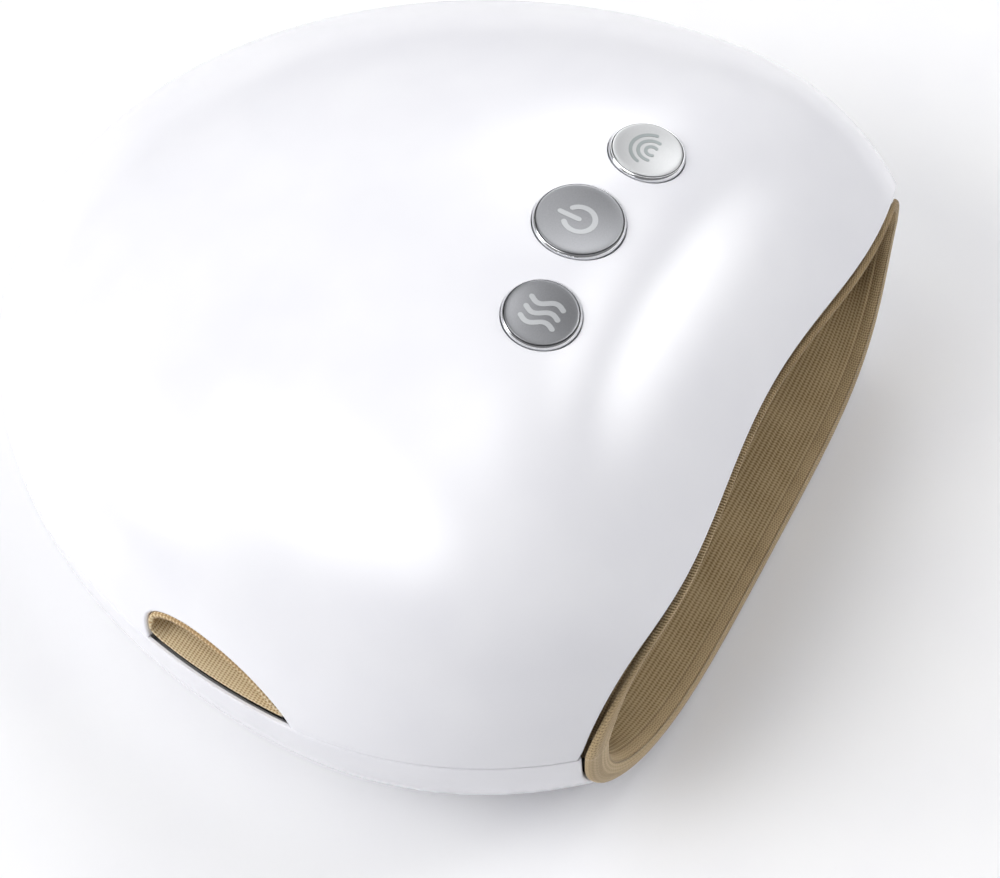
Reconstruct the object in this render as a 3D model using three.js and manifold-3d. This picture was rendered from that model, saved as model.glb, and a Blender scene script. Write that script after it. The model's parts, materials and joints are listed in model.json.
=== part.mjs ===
// Hand massager: a pebble-shaped shell in two halves with a soft pocket for the hand,
// a thumb hole in each side, three buttons on top, and the pump, valve and battery inside.
// Millimetres, +Z up, +X to the user's right, the mouth faces -Y.
import * as THREE from 'three';
import { mergeVertices } from 'three/addons/utils/BufferGeometryUtils.js';
import Module from 'manifold-3d';

const wasm = await Module();
wasm.setup();

// Body outline and height
const HALF_WIDTH = 115.2;
const BACK_LENGTH = 136.2;
const FRONT_LENGTH = 104.9;
const SEAM_HEIGHT = 40;
const DOME_RISE = 64.6;
const APEX_FORWARD = 40;
const BOWL_DEPTH = 36;
const BOWL_ROUND = 40;
const BOWL_POWER = 2.6;
const WALL = 2.6;
const FIT_GAP = 0.3;
const CUT_OVERRUN = 8;
const MERGE_DISTANCE = 1e-4;
const DOME_POWER = 2.8;
const DOME_ROOT = 1.34;

// Lip of the mouth, in plan and over the brow
const LIP_MIDDLE = 66.4;
const LIP_CORNER = 63.5;
const LIP_BULGE = 22.3;
const LIP_RETURN = 40;
const BROW_HEIGHT = 72.7;
const BROW_BLEND = 9;
const BROW_SLOPE = 1.01;
const BROW_WALL_SHARE = 1.4;
const RIM_FORWARD = 7.6;
const RIM_POWER = 6;

// Soft lining of the hand pocket
const LINING = 2.4;
const LINING_CLEARANCE = 0.6;
const POCKET_SIDE_GAP = 20.2;
const POCKET_RISE = 24;
const POCKET_DROP = 23;
const POCKET_TAPER_START = 25;
const POCKET_TAPER_LENGTH = 70;
const POCKET_BLEND_LENGTH = 26;
const POCKET_SECTION_POWER = 2.6;
const WELT_LENGTH = 4;
const WELT_PROUD = 0.8;
const WELT_ROUND_SHARE = 0.25;
const BEAD_PROUD = 2.2;
const BEAD_LEG = 1.1;
const BEAD_ROUND = 1;
const BEAD_SEAM_SHARE = 0.35;
const BEAD_FADE = 10;

// Thumb holes
const THUMB_FRONT_Y = -2;
const THUMB_LENGTH = 42.5;
const THUMB_HEIGHT = 10.9;
const THUMB_SLEEVE_WALL = 1.6;
const THUMB_SLEEVE_SINK = 0.8;

// Buttons and their board
const BUTTON_Y = -15.2;
const BUTTON_SIDE_X = 27;
const BUTTON_SIDE_BACKSET = 4.2;
const POWER_RING_RADIUS = 10.8;
const SIDE_RING_RADIUS = 9.1;
const RING_FACE = 0.6;
const RING_PROUD = 0.6;
const RING_SINK = 0.9;
const RING_SLEEVE = 0.4;
const RING_SLEEVE_DEPTH = 4.2;
const RING_FIT = 0.1;
const CAP_PROUD = 0.8;
const CAP_THICKNESS = 3.2;
const CAP_STEM_RADIUS = 2;
const BUTTON_TRAVEL = 0.8;
const BOARD_THICKNESS = 1.6;
const BUTTON_BOARD_DROP = 14;
const BUTTON_BOARD_SIZE = [68, 32];
const BOARD_POST_RADIUS = 2.4;
const BOARD_POST_X = 14.3;
const BOARD_POST_SPACING = 24;
const SWITCH_SIZE = 6;
const SWITCH_HEIGHT = 3.4;
const SWITCH_PLUNGER_RADIUS = 1.7;
const SWITCH_PLUNGER_HEIGHT = 0.8;

// Inner deck above the pocket
const DECK_CLEARANCE = 4.8;
const DECK_THICKNESS = 2;
const DECK_FRONT_Y = -42;
const DECK_BACK_Y = 52;
const DECK_FRONT_SIDE_GAP = 37.2;
const DECK_BACK_SIDE_GAP = 55.2;
const DECK_POST_RADIUS = 4;
const DECK_FRONT_POST_INSET = 8;
const DECK_BACK_POST_INSET = 6;
const DECK_POST_SETBACK = 8;
const SCREW_HEAD_RADIUS = 2.8;
const SCREW_HEAD_HEIGHT = 1.5;
const SCREW_SHANK_RADIUS = 1.4;
const SCREW_BORE_RADIUS = 1.7;
const SCREW_LENGTH = 6;

// Floor plate, feet and screws under the pocket
const PLATE_THICKNESS = 1.7;
const PLATE_CLEARANCE = 3.3;
const PLATE_SIDE_GAP = 31;
const PLATE_FRONT_Y = -38;
const PLATE_BACK_Y = 56;
const FOOT_RADIUS = 7;
const FOOT_RECESS = 1;
const FOOT_INSET = 18;
const FOOT_FRONT_Y = -36;
const FOOT_BACK_Y = 62;
const BASE_SCREW_INSET = 24;
const BASE_SCREW_FRONT_Y = -12;
const BASE_SCREW_BACK_Y = 34;
const BASE_BOSS_RADIUS = 4.4;
const SHELL_SCREW_SIDE_GAP = 43.2;
const SHELL_SCREW_Y = 80;
const SHELL_BOSS_BOTTOM = 22;
const SHELL_SCREW_LENGTH = 14;
const WELL_WALL = 2;
const WELL_FLOOR = 2;

// Air bags and heating pad
const PAD_THICKNESS = 0.8;
const PAD_SIZE = [96, 44];
const BAG_CORNER = 12;
const BAG_EDGE = 0.8;
const UPPER_BAG_SIDE_GAP = 35;
const UPPER_BAG_FRONT_Y = -38;
const UPPER_BAG_BACK_Y = 36;
const SPIGOT_RADIUS = 2;
const SPIGOT_LENGTH = 5;

// Pump, valve, manifold and hoses
const PUMP_RADIUS = 9.5;
const PUMP_INSET = 33;
const PUMP_FRONT_Y = -24;
const MOTOR_LENGTH = 28;
const PUMP_HEAD_LENGTH = 14;
const PUMP_CAVITY_RADIUS = 7.5;
const PUMP_CAVITY_DEPTH = 8;
const ROTOR_SHAFT_RADIUS = 1;
const ROTOR_SHAFT_GRIP = 6;
const ROTOR_RADIUS = 5;
const ROTOR_OFFSET = 1.5;
const ROTOR_WIDTH = 4;
const SADDLE_WIDTH = 16;
const SADDLE_LENGTH = 5;
const SADDLE_HEIGHT = 5;
const VALVE_SIZE = [16, 14, 11];
const VALVE_POSITION = [-4, 17];
const VALVE_BORE_RADIUS = 2.6;
const VALVE_BORE_DEPTH = 12;
const PLUNGER_LENGTH = 12;
const PLUNGER_TRAVEL = 1.5;
const MANIFOLD_SIZE = [24, 10, 9];
const MANIFOLD_POSITION = [-4, 36];
const NOZZLE_RADIUS = 1.8;
const NOZZLE_LENGTH = 4;
const HOSE_RADIUS = 2.4;
const HOSE_TURN = 12;
const HOSE_STEP_SHARE = 2.5;

// Battery, boards, buzzer and charging socket
const BATTERY_SIDE_GAP = 3.5;
const BATTERY_LENGTH = 36;
const BATTERY_HEIGHT = 12;
const BATTERY_Y = -17;
const CONTROL_BOARD_SIZE = [36, 44];
const CONTROL_BOARD_INSET = 22;
const CONTROL_BOARD_Y = -1;
const STANDOFF_HEIGHT = 3;
const STANDOFF_RADIUS = 2.2;
const STANDOFF_INSET = 3;
const BUZZER_RADIUS = 6;
const BUZZER_HEIGHT = 5;
const SOCKET_SIZE = [8.9, 8, 3.3];
const SOCKET_WALL = 0.35;
const SOCKET_DEPTH = 6;
const SOCKET_HEIGHT = 28;
const SOCKET_PAD = [18, 10, 9];
const SOCKET_TONGUE = [6, 4, 0.7];

// How finely round things are faceted
const DOME_SIDES = 64;
const DOME_RINGS = 13;
const DOME_CROWDING = 1.5;
const BOWL_RINGS = 8;
const POCKET_SIDES = 18;
const POCKET_BLEND_STEPS = 4;
const POCKET_STRAIGHT_STEPS = 2;
const POCKET_TAPER_STEPS = 5;
const BUTTON_SIDES = 24;
const SMALL_SIDES = 10;
const FOOT_SIDES = 20;
const LIP_STEPS = 28;

// Widths that follow from the body's
const pocketHalfWidth = HALF_WIDTH - POCKET_SIDE_GAP;
const deckFrontHalfWidth = HALF_WIDTH - DECK_FRONT_SIDE_GAP;
const deckBackHalfWidth = HALF_WIDTH - DECK_BACK_SIDE_GAP;
const plateHalfWidth = pocketHalfWidth - PLATE_SIDE_GAP;
const upperBagHalfWidth = pocketHalfWidth - UPPER_BAG_SIDE_GAP;
const footX = plateHalfWidth - FOOT_INSET;
const baseScrewX = plateHalfWidth - BASE_SCREW_INSET;
const shellScrewX = HALF_WIDTH - SHELL_SCREW_SIDE_GAP;
const pumpX = PUMP_INSET - deckFrontHalfWidth;
const batteryWidth = 2 * (-pumpX - PUMP_RADIUS - BATTERY_SIDE_GAP);
const controlBoardX = deckFrontHalfWidth - CONTROL_BOARD_INSET;

const UP = new THREE.Vector3(0, 0, 1);
const BACKWARDS = new THREE.Vector3(0, 1, 0);

const materials = {
  shell: new THREE.MeshStandardMaterial({ color: 0xf1f1f4, roughness: 0.12, metalness: 0 }),
  knit: new THREE.MeshStandardMaterial({ color: 0xa08b66, roughness: 0.95, metalness: 0 }),
  capDark: new THREE.MeshStandardMaterial({ color: 0x8e9193, roughness: 0.38, metalness: 0.9 }),
  capLight: new THREE.MeshStandardMaterial({ color: 0xc3c5c7, roughness: 0.38, metalness: 0.9 }),
  chrome: new THREE.MeshStandardMaterial({ color: 0xd8dadd, roughness: 0.08, metalness: 1 }),
  innerPlastic: new THREE.MeshStandardMaterial({ color: 0x4a4d52, roughness: 0.6, metalness: 0 }),
  bag: new THREE.MeshStandardMaterial({ color: 0x9fa9b3, roughness: 0.7, metalness: 0 }),
  pad: new THREE.MeshStandardMaterial({ color: 0xb5632e, roughness: 0.7, metalness: 0 }),
  board: new THREE.MeshStandardMaterial({ color: 0x1f6b43, roughness: 0.5, metalness: 0 }),
  steel: new THREE.MeshStandardMaterial({ color: 0xa9adb2, roughness: 0.3, metalness: 1 }),
  battery: new THREE.MeshStandardMaterial({ color: 0x3c6ea5, roughness: 0.5, metalness: 0 }),
  hose: new THREE.MeshStandardMaterial({ color: 0xd9dcd8, roughness: 0.4, metalness: 0 }),
  rubber: new THREE.MeshStandardMaterial({ color: 0x5a5c60, roughness: 0.9, metalness: 0 }),
};

const model = new THREE.Group();

// Solids: closed meshes that can be cut and joined

function toSolid(geometry) {
  const plain = geometry.index ? geometry.toNonIndexed() : geometry.clone();
  plain.deleteAttribute('normal');
  plain.deleteAttribute('uv');
  const merged = mergeVertices(plain, MERGE_DISTANCE);
  return new wasm.Manifold(new wasm.Mesh({
    numProp: 3,
    vertProperties: Float32Array.from(merged.attributes.position.array),
    triVerts: Uint32Array.from(merged.index.array),
  }));
}

function toGeometry(solid) {
  const mesh = solid.getMesh();
  const geometry = new THREE.BufferGeometry();
  geometry.setAttribute('position', new THREE.BufferAttribute(Float32Array.from(mesh.vertProperties), 3));
  geometry.setIndex(new THREE.BufferAttribute(Uint32Array.from(mesh.triVerts), 1));
  const faceted = geometry.toNonIndexed();
  faceted.computeVertexNormals();
  return faceted;
}

// The largest body of a trimmed solid, without the crumbs that a grazing cut leaves
function mainBody(solid) {
  return solid.decompose().reduce((best, body) => (body.volume() > best.volume() ? body : best));
}

function addPart(name, shape, material) {
  const geometry = shape.isBufferGeometry ? shape : toGeometry(shape);
  const mesh = new THREE.Mesh(geometry, material);
  mesh.name = name;
  model.add(mesh);
  return mesh;
}

// A geometry whose +Z is turned to an axis and moved to a place
function place(geometry, position, axis = UP) {
  const turn = new THREE.Quaternion().setFromUnitVectors(UP, axis.clone().normalize());
  const matrix = new THREE.Matrix4().compose(position, turn, new THREE.Vector3(1, 1, 1));
  return geometry.applyMatrix4(matrix);
}

// A cylinder from one height to another along local +Z
function rod(radius, low, high, sides = SMALL_SIDES) {
  const geometry = new THREE.CylinderGeometry(radius, radius, high - low, sides);
  geometry.rotateX(Math.PI / 2);
  geometry.translate(0, 0, (low + high) / 2);
  return geometry;
}

function uprightRod(radius, x, y, low, high, sides = SMALL_SIDES) {
  return rod(radius, low, high, sides).translate(x, y, 0);
}

function block(size, x, y, low) {
  return new THREE.BoxGeometry(...size).translate(x, y, low + size[2] / 2);
}

function roundedRectangle(halfWidth, front, back, corner) {
  const shape = new THREE.Shape();
  shape.moveTo(-halfWidth + corner, front);
  shape.lineTo(halfWidth - corner, front);
  shape.absarc(halfWidth - corner, front + corner, corner, -Math.PI / 2, 0);
  shape.lineTo(halfWidth, back - corner);
  shape.absarc(halfWidth - corner, back - corner, corner, 0, Math.PI / 2);
  shape.lineTo(-halfWidth + corner, back);
  shape.absarc(-halfWidth + corner, back - corner, corner, Math.PI / 2, Math.PI);
  shape.lineTo(-halfWidth, front + corner);
  shape.absarc(-halfWidth + corner, front + corner, corner, Math.PI, Math.PI * 1.5);
  return shape;
}

function slab(shape, low, high, curveSegments = 4) {
  return new THREE.ExtrudeGeometry(shape, { depth: high - low, bevelEnabled: false, curveSegments })
    .translate(0, 0, low);
}

// A geometry from a list of corner points, three to a triangle
function geometryOf(corners) {
  const geometry = new THREE.BufferGeometry().setFromPoints(corners);
  geometry.computeVertexNormals();
  return geometry;
}

// Rings of points, each closed, from a first pole to a last pole
function solidOfRings(rings) {
  const corners = [];
  for (let i = 0; i + 1 < rings.length; i++) {
    const upper = rings[i];
    const lower = rings[i + 1];
    const count = Math.max(upper.length, lower.length);
    for (let k = 0; k < count; k++) {
      const next = (k + 1) % count;
      if (upper.length === 1) {
        corners.push(upper[0], lower[k], lower[next]);
      } else if (lower.length === 1) {
        corners.push(upper[k], lower[0], upper[next]);
      } else {
        corners.push(upper[k], lower[k], lower[next]);
        corners.push(upper[k], lower[next], upper[next]);
      }
    }
  }
  return geometryOf(corners);
}

// A sheet with a thickness: two grids of points, row by row, closed round their four edges
function solidOfSheets(outer, inner) {
  const corners = [];
  const quad = (a, b, c, d) => corners.push(a, b, c, a, c, d);
  const rows = outer.length;
  const columns = outer[0].length;
  for (let i = 0; i + 1 < rows; i++) {
    for (let k = 0; k + 1 < columns; k++) {
      quad(outer[i][k], outer[i][k + 1], outer[i + 1][k + 1], outer[i + 1][k]);
      quad(inner[i][k], inner[i + 1][k], inner[i + 1][k + 1], inner[i][k + 1]);
    }
    quad(outer[i][0], outer[i + 1][0], inner[i + 1][0], inner[i][0]);
    const end = columns - 1;
    quad(outer[i][end], inner[i][end], inner[i + 1][end], outer[i + 1][end]);
  }
  const last = rows - 1;
  for (let k = 0; k + 1 < columns; k++) {
    quad(outer[0][k], inner[0][k], inner[0][k + 1], outer[0][k + 1]);
    quad(outer[last][k], outer[last][k + 1], inner[last][k + 1], inner[last][k]);
  }
  return geometryOf(corners);
}

// Outer form: an oval seam line, a dome above it with a brow over the mouth, a bowl below it

function outlineRadius(angle, inset) {
  const length = Math.sin(angle) < 0 ? FRONT_LENGTH : BACK_LENGTH;
  return 1 / Math.hypot(Math.cos(angle) / (HALF_WIDTH - inset), Math.sin(angle) / (length - inset));
}

function blendedLow(a, b, blend) {
  const least = Math.min(a, b);
  return least - blend * Math.log(Math.exp((least - a) / blend) + Math.exp((least - b) / blend));
}

function domeRise(t, y, inset) {
  const full = (DOME_RISE - inset) * Math.max(1 - t ** DOME_POWER, 0) ** (1 / DOME_ROOT);
  const brow = BROW_HEIGHT - SEAM_HEIGHT - inset * BROW_WALL_SHARE + BROW_SLOPE * (y + LIP_MIDDLE);
  return Math.max(blendedLow(full, brow, BROW_BLEND), 0);
}

function domePoint(angle, t, inset) {
  const radius = outlineRadius(angle, inset) * t;
  const y = -APEX_FORWARD * (1 - t * t) + radius * Math.sin(angle);
  const rise = t < 1 ? domeRise(t, y, inset) : 0;
  return new THREE.Vector3(radius * Math.cos(angle), y, SEAM_HEIGHT + rise);
}

// Height of the dome over a place in plan
function domeHeight(x, y, inset = 0) {
  let t = 0.5;
  for (let step = 0; step < 60; step++) {
    const shifted = y + APEX_FORWARD * (1 - t * t);
    const reach = Math.hypot(x, shifted) / outlineRadius(Math.atan2(shifted, x), inset);
    t = (t + Math.min(reach, 1)) / 2;
  }
  return SEAM_HEIGHT + domeRise(t, y, inset);
}

// How far in from the seam line a place in plan lies
function planInset(x, y, most) {
  let low = -WALL;
  let high = most;
  for (let step = 0; step < 40; step++) {
    const middle = (low + high) / 2;
    if (Math.hypot(x, y) < outlineRadius(Math.atan2(y, x), middle)) {
      low = middle;
    } else {
      high = middle;
    }
  }
  return (low + high) / 2;
}

// How far down the bowl is, as a share of its depth, at a share of the way out to its edge
function roundOff(share) {
  return (1 - share ** BOWL_POWER) ** (1 / BOWL_POWER);
}

function bowlHeight(x, y, inset = 0) {
  const reach = Math.max(planInset(x, y, BOWL_ROUND) - inset, 0);
  const run = Math.min(reach / (BOWL_ROUND - inset), 1);
  return SEAM_HEIGHT - (BOWL_DEPTH - inset) * roundOff(1 - run);
}

function domeSolid(inset, low) {
  const rings = [[domePoint(0, 0, inset)]];
  for (let i = 1; i < DOME_RINGS; i++) {
    const t = 1 - (1 - i / DOME_RINGS) ** DOME_CROWDING;
    rings.push(ringOf((angle) => domePoint(angle, t, inset)));
  }
  rings.push(ringOf((angle) => domePoint(angle, 1, inset).setZ(Math.max(SEAM_HEIGHT, low))));
  if (low < SEAM_HEIGHT) rings.push(ringOf((angle) => domePoint(angle, 1, inset).setZ(low)));
  rings.push([new THREE.Vector3(0, 0, low)]);
  return toSolid(solidOfRings(rings));
}

function bowlSolid(inset, high) {
  const rings = [[new THREE.Vector3(0, 0, high)]];
  rings.push(ringOf((angle) => domePoint(angle, 1, inset).setZ(high)));
  if (high > SEAM_HEIGHT) rings.push(ringOf((angle) => domePoint(angle, 1, inset)));
  for (let i = 1; i <= BOWL_RINGS; i++) {
    const turn = (Math.PI / 2) * (i / BOWL_RINGS);
    const share = Math.max(Math.cos(turn), 0) ** (2 / BOWL_POWER);
    const drawnIn = inset + (BOWL_ROUND - inset) * (1 - share);
    const z = SEAM_HEIGHT - (BOWL_DEPTH - inset) * Math.sin(turn) ** (2 / BOWL_POWER);
    rings.push(ringOf((angle) => domePoint(angle, 1, drawnIn).setZ(z)));
  }
  rings.push([new THREE.Vector3(0, 0, SEAM_HEIGHT - BOWL_DEPTH + inset)]);
  return toSolid(solidOfRings(rings));
}

// Everything inside the shell's walls, less a clearance
function innerSpace(clearance) {
  const inset = WALL + clearance;
  return domeSolid(inset, SEAM_HEIGHT).add(bowlSolid(inset, SEAM_HEIGHT));
}

function ringOf(pointAt) {
  const ring = [];
  for (let k = 0; k < DOME_SIDES; k++) ring.push(pointAt((2 * Math.PI * k) / DOME_SIDES));
  return ring;
}

// The mouth: the lip above and the rim below, both cut by curved upright faces

const mouthHalfWidth = HALF_WIDTH * Math.sqrt(1 - (LIP_CORNER / FRONT_LENGTH) ** 2);

function lipY(x) {
  const s = Math.min((x / mouthHalfWidth) ** 2, 1);
  const rest = LIP_CORNER - LIP_MIDDLE - LIP_BULGE + LIP_RETURN;
  return -(LIP_MIDDLE + LIP_BULGE * s - LIP_RETURN * s ** 2 + rest * s ** 3);
}

function rimY(x) {
  const share = Math.min(Math.abs(x) / mouthHalfWidth, 1);
  return -(LIP_CORNER + RIM_FORWARD * (1 - share ** RIM_POWER));
}

function mouthCutter(frontY, low, high) {
  const shape = new THREE.Shape();
  shape.moveTo(HALF_WIDTH, -FRONT_LENGTH - CUT_OVERRUN);
  shape.lineTo(HALF_WIDTH, frontY(HALF_WIDTH));
  for (let k = 0; k <= LIP_STEPS; k++) {
    const x = mouthHalfWidth * (1 - (2 * k) / LIP_STEPS);
    shape.lineTo(x, frontY(x));
  }
  shape.lineTo(-HALF_WIDTH, frontY(HALF_WIDTH));
  shape.lineTo(-HALF_WIDTH, -FRONT_LENGTH - CUT_OVERRUN);
  return toSolid(slab(shape, low, high));
}

// The thumb holes: a leaf, rounded behind and pointed in front, standing on the seam line

const LEAF_TIP_INSET_SHARE = 2.2;

// Places on the outline as shares of its length and its rise, each bend with its two handles
const LEAF_CROWN_SHARES = [[0.1, 0.55], [0.35, 1], [0.66, 1]];
const LEAF_TAIL_SHARES = [[0.82, 1], [1, 0.8], [1, 0.5]];
const LEAF_HEEL_SHARES = [[1, 0.2], [0.95, 0], [0.9, 0]];

// The leaf's outline drawn in by an inset, its foot raised above the seam line by a lift
function leafCutter(inset, lift, skirt, innerX, outerX) {
  const front = THUMB_FRONT_Y + inset * LEAF_TIP_INSET_SHARE;
  const length = THUMB_FRONT_Y + THUMB_LENGTH - inset - front;
  const rise = THUMB_HEIGHT - inset - lift;
  const shape = new THREE.Shape();
  shape.moveTo(front, lift - skirt);
  shape.lineTo(front, lift);
  for (const bend of [LEAF_CROWN_SHARES, LEAF_TAIL_SHARES, LEAF_HEEL_SHARES]) {
    const places = bend.flatMap(([along, up]) => [front + length * along, lift + rise * up]);
    shape.bezierCurveTo(...places);
  }
  shape.lineTo(shape.currentPoint.x, lift - skirt);
  const geometry = new THREE.ExtrudeGeometry(shape, {
    depth: outerX - innerX, bevelEnabled: false, curveSegments: 6,
  });
  const across = new THREE.Matrix4().makeBasis(
    new THREE.Vector3(0, 1, 0), new THREE.Vector3(0, 0, 1), new THREE.Vector3(1, 0, 0),
  );
  return toSolid(geometry.applyMatrix4(across).translate(innerX, 0, SEAM_HEIGHT));
}

const thumbOuterX = HALF_WIDTH + CUT_OVERRUN;
const thumbInnerX = pocketHalfWidth - CUT_OVERRUN;

function thumbPair(inset, lift, skirt) {
  const right = leafCutter(inset, lift, skirt, thumbInnerX, thumbOuterX);
  const left = leafCutter(inset, lift, skirt, -thumbOuterX, -thumbInnerX);
  return right.add(left);
}

// The pocket: rings of its section, from the mouth to the closed end

function pocketShrink(y) {
  const share = Math.max(y - POCKET_TAPER_START, 0) / POCKET_TAPER_LENGTH;
  return Math.sqrt(Math.max(1 - share * share, 0));
}

function sectionPoint(angle, halfWidth, height) {
  const across = Math.sign(Math.cos(angle)) * Math.abs(Math.cos(angle)) ** (2 / POCKET_SECTION_POWER);
  const rise = Math.abs(Math.sin(angle)) ** (2 / POCKET_SECTION_POWER);
  return [halfWidth * across, height * rise];
}

function bodyPocketPoint(angle, y, offset, upper) {
  const shrink = pocketShrink(y);
  const halfWidth = pocketHalfWidth * shrink + offset;
  const height = (upper ? POCKET_RISE : POCKET_DROP) * shrink + offset;
  const [x, rise] = sectionPoint(angle, halfWidth, height);
  return new THREE.Vector3(x, y, rise);
}

// At the mouth the lining lies against the inside of the shell
function mouthPocketPoint(angle, behind, offset, upper) {
  const cover = LINING - offset + LINING_CLEARANCE;
  const innerHalfWidth = mouthHalfWidth - WALL - LINING - LINING_CLEARANCE;
  const [innerX, rise] = sectionPoint(angle, innerHalfWidth, DOME_RISE);
  const x = innerX * (1 + offset / innerHalfWidth);
  const front = upper ? lipY(innerX) : rimY(innerX);
  const room = upper
    ? domeHeight(x, front, WALL) - SEAM_HEIGHT
    : SEAM_HEIGHT - bowlHeight(x, front, WALL);
  return new THREE.Vector3(x, front + behind, Math.min(rise, Math.max(room - cover, 0)));
}

function liningPoint(angle, behind, offset, upper) {
  const share = Math.min(behind / POCKET_BLEND_LENGTH, 1);
  const weight = share * share * (3 - 2 * share);
  const y = -LIP_MIDDLE + behind;
  const body = bodyPocketPoint(angle, y, offset, upper);
  const mouth = mouthPocketPoint(angle, behind, offset, upper);
  const point = mouth.lerp(body, weight);
  const side = upper ? 1 : -1;
  return new THREE.Vector3(point.x, point.y, SEAM_HEIGHT + side * (point.z + FIT_GAP / 2));
}

const pocketEnd = LIP_MIDDLE + POCKET_TAPER_START + POCKET_TAPER_LENGTH;

function liningStations() {
  const first = WELT_LENGTH + 2 * FIT_GAP;
  const taper = LIP_MIDDLE + POCKET_TAPER_START;
  const stations = [];
  for (let i = 0; i < POCKET_BLEND_STEPS; i++) {
    stations.push(first + ((POCKET_BLEND_LENGTH - first) * i) / POCKET_BLEND_STEPS);
  }
  for (let i = 0; i < POCKET_STRAIGHT_STEPS; i++) {
    stations.push(POCKET_BLEND_LENGTH + ((taper - POCKET_BLEND_LENGTH) * i) / POCKET_STRAIGHT_STEPS);
  }
  for (let i = 0; i <= POCKET_TAPER_STEPS; i++) {
    const turn = (Math.PI / 2) * (i / POCKET_TAPER_STEPS);
    stations.push(taper + POCKET_TAPER_LENGTH * Math.sin(turn));
  }
  return stations;
}

function liningSheet(stations, offset, upper) {
  return stations.map((behind) => {
    const row = [];
    for (let k = 0; k <= POCKET_SIDES; k++) {
      const angle = Math.PI * (upper ? 1 - k / POCKET_SIDES : k / POCKET_SIDES);
      row.push(liningPoint(angle, behind, offset, upper));
    }
    return row;
  });
}

function liningHalf(upper) {
  const stations = liningStations();
  return solidOfSheets(liningSheet(stations, LINING, upper), liningSheet(stations, 0, upper));
}

// The whole space inside the lining's outer face, for cutting what ends against it
function pocketCore() {
  const stations = liningStations();
  const clear = LINING + FIT_GAP;
  const rings = stations.map((behind) => {
    const ring = [];
    for (const upper of [true, false]) {
      for (let k = 0; k < POCKET_SIDES; k++) {
        const angle = Math.PI * (k / POCKET_SIDES);
        const point = liningPoint(upper ? angle : Math.PI - angle, behind, clear, upper);
        ring.push(point);
      }
    }
    return ring;
  });
  const firstY = lipY(0) + stations[0];
  const lastY = -LIP_MIDDLE + pocketEnd + clear;
  return toSolid(solidOfRings([
    [new THREE.Vector3(0, firstY, SEAM_HEIGHT)], ...rings, [new THREE.Vector3(0, lastY, SEAM_HEIGHT)],
  ]));
}

// The welt's section as [behind the shell's edge, away from the hand]: a narrow binding above the
// seam, and below it a bead that rolls over the shell's rim
function weltRing() {
  const binding = [
    [-WELT_PROUD, LINING * WELT_ROUND_SHARE], [0, 0], [WELT_LENGTH, 0], [WELT_LENGTH, LINING],
    [WELT_PROUD, LINING], [0, LINING], [-WELT_PROUD / 2, LINING * (1 - WELT_ROUND_SHARE / 2)],
    [-WELT_PROUD, LINING * (1 - WELT_ROUND_SHARE)],
  ];
  const low = LINING + LINING_CLEARANCE + WALL - FIT_GAP;
  const bead = [
    [-BEAD_PROUD, BEAD_ROUND], [-BEAD_ROUND, 0], [WELT_LENGTH, 0], [WELT_LENGTH, LINING],
    [-FIT_GAP, LINING], [-FIT_GAP, low], [-BEAD_LEG - FIT_GAP, low], [-BEAD_PROUD, low - BEAD_ROUND],
  ];
  const rings = [];
  for (const half of [0, 1]) {
    for (let k = 0; k < POCKET_SIDES; k++) {
      const turn = Math.PI * (k / POCKET_SIDES);
      const angle = half ? Math.PI - turn : turn;
      const upper = !half && k > 0;
      const rise = liningPoint(angle, 0, 0, upper).z - SEAM_HEIGHT;
      const share = BEAD_SEAM_SHARE - ((1 - BEAD_SEAM_SHARE) * rise) / BEAD_FADE;
      const weight = Math.min(Math.max(share, 0), 1);
      const section = binding.map(([behind, offset], i) => {
        const back = behind + (bead[i][0] - behind) * weight;
        const out = offset + (bead[i][1] - offset) * weight;
        const point = liningPoint(angle, Math.max(back, 0), out, upper);
        if (back < 0) point.y = (upper ? lipY(point.x) : rimY(point.x)) + back;
        return point;
      });
      rings.push(section);
    }
  }
  return closedLoop(rings);
}

// Sections joined one to the next, and the last to the first
function closedLoop(sections) {
  const corners = [];
  const count = sections.length;
  for (let i = 0; i < count; i++) {
    const here = sections[i];
    const there = sections[(i + 1) % count];
    for (let k = 0; k < here.length; k++) {
      const next = (k + 1) % here.length;
      corners.push(here[k], there[k], there[next]);
      corners.push(here[k], there[next], here[next]);
    }
  }
  return geometryOf(corners);
}

// Where each button stands on the dome, and the way it faces

function domeNormal(x, y) {
  const step = WALL;
  const slopeX = (domeHeight(x + step, y) - domeHeight(x - step, y)) / (2 * step);
  const slopeY = (domeHeight(x, y + step) - domeHeight(x, y - step)) / (2 * step);
  return new THREE.Vector3(-slopeX, -slopeY, 1).normalize();
}

function buttonSite(name, x, y, radius, material) {
  const position = new THREE.Vector3(x, y, domeHeight(x, y));
  return { name, position, axis: domeNormal(x, y), radius, material };
}

const sideButtonY = BUTTON_Y - BUTTON_SIDE_BACKSET;
const buttons = [
  buttonSite('power', 0, BUTTON_Y, POWER_RING_RADIUS, materials.capDark),
  buttonSite('heat', -BUTTON_SIDE_X, sideButtonY, SIDE_RING_RADIUS, materials.capDark),
  buttonSite('pressure', BUTTON_SIDE_X, sideButtonY, SIDE_RING_RADIUS, materials.capLight),
];

const boardTop = SEAM_HEIGHT + DOME_RISE - BUTTON_BOARD_DROP + BOARD_THICKNESS;
const switchTop = boardTop + SWITCH_HEIGHT + SWITCH_PLUNGER_HEIGHT;
const boardCentreY = (BUTTON_Y + sideButtonY) / 2;
const boardPostYs = [boardCentreY - BOARD_POST_SPACING / 2, boardCentreY + BOARD_POST_SPACING / 2];

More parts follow.
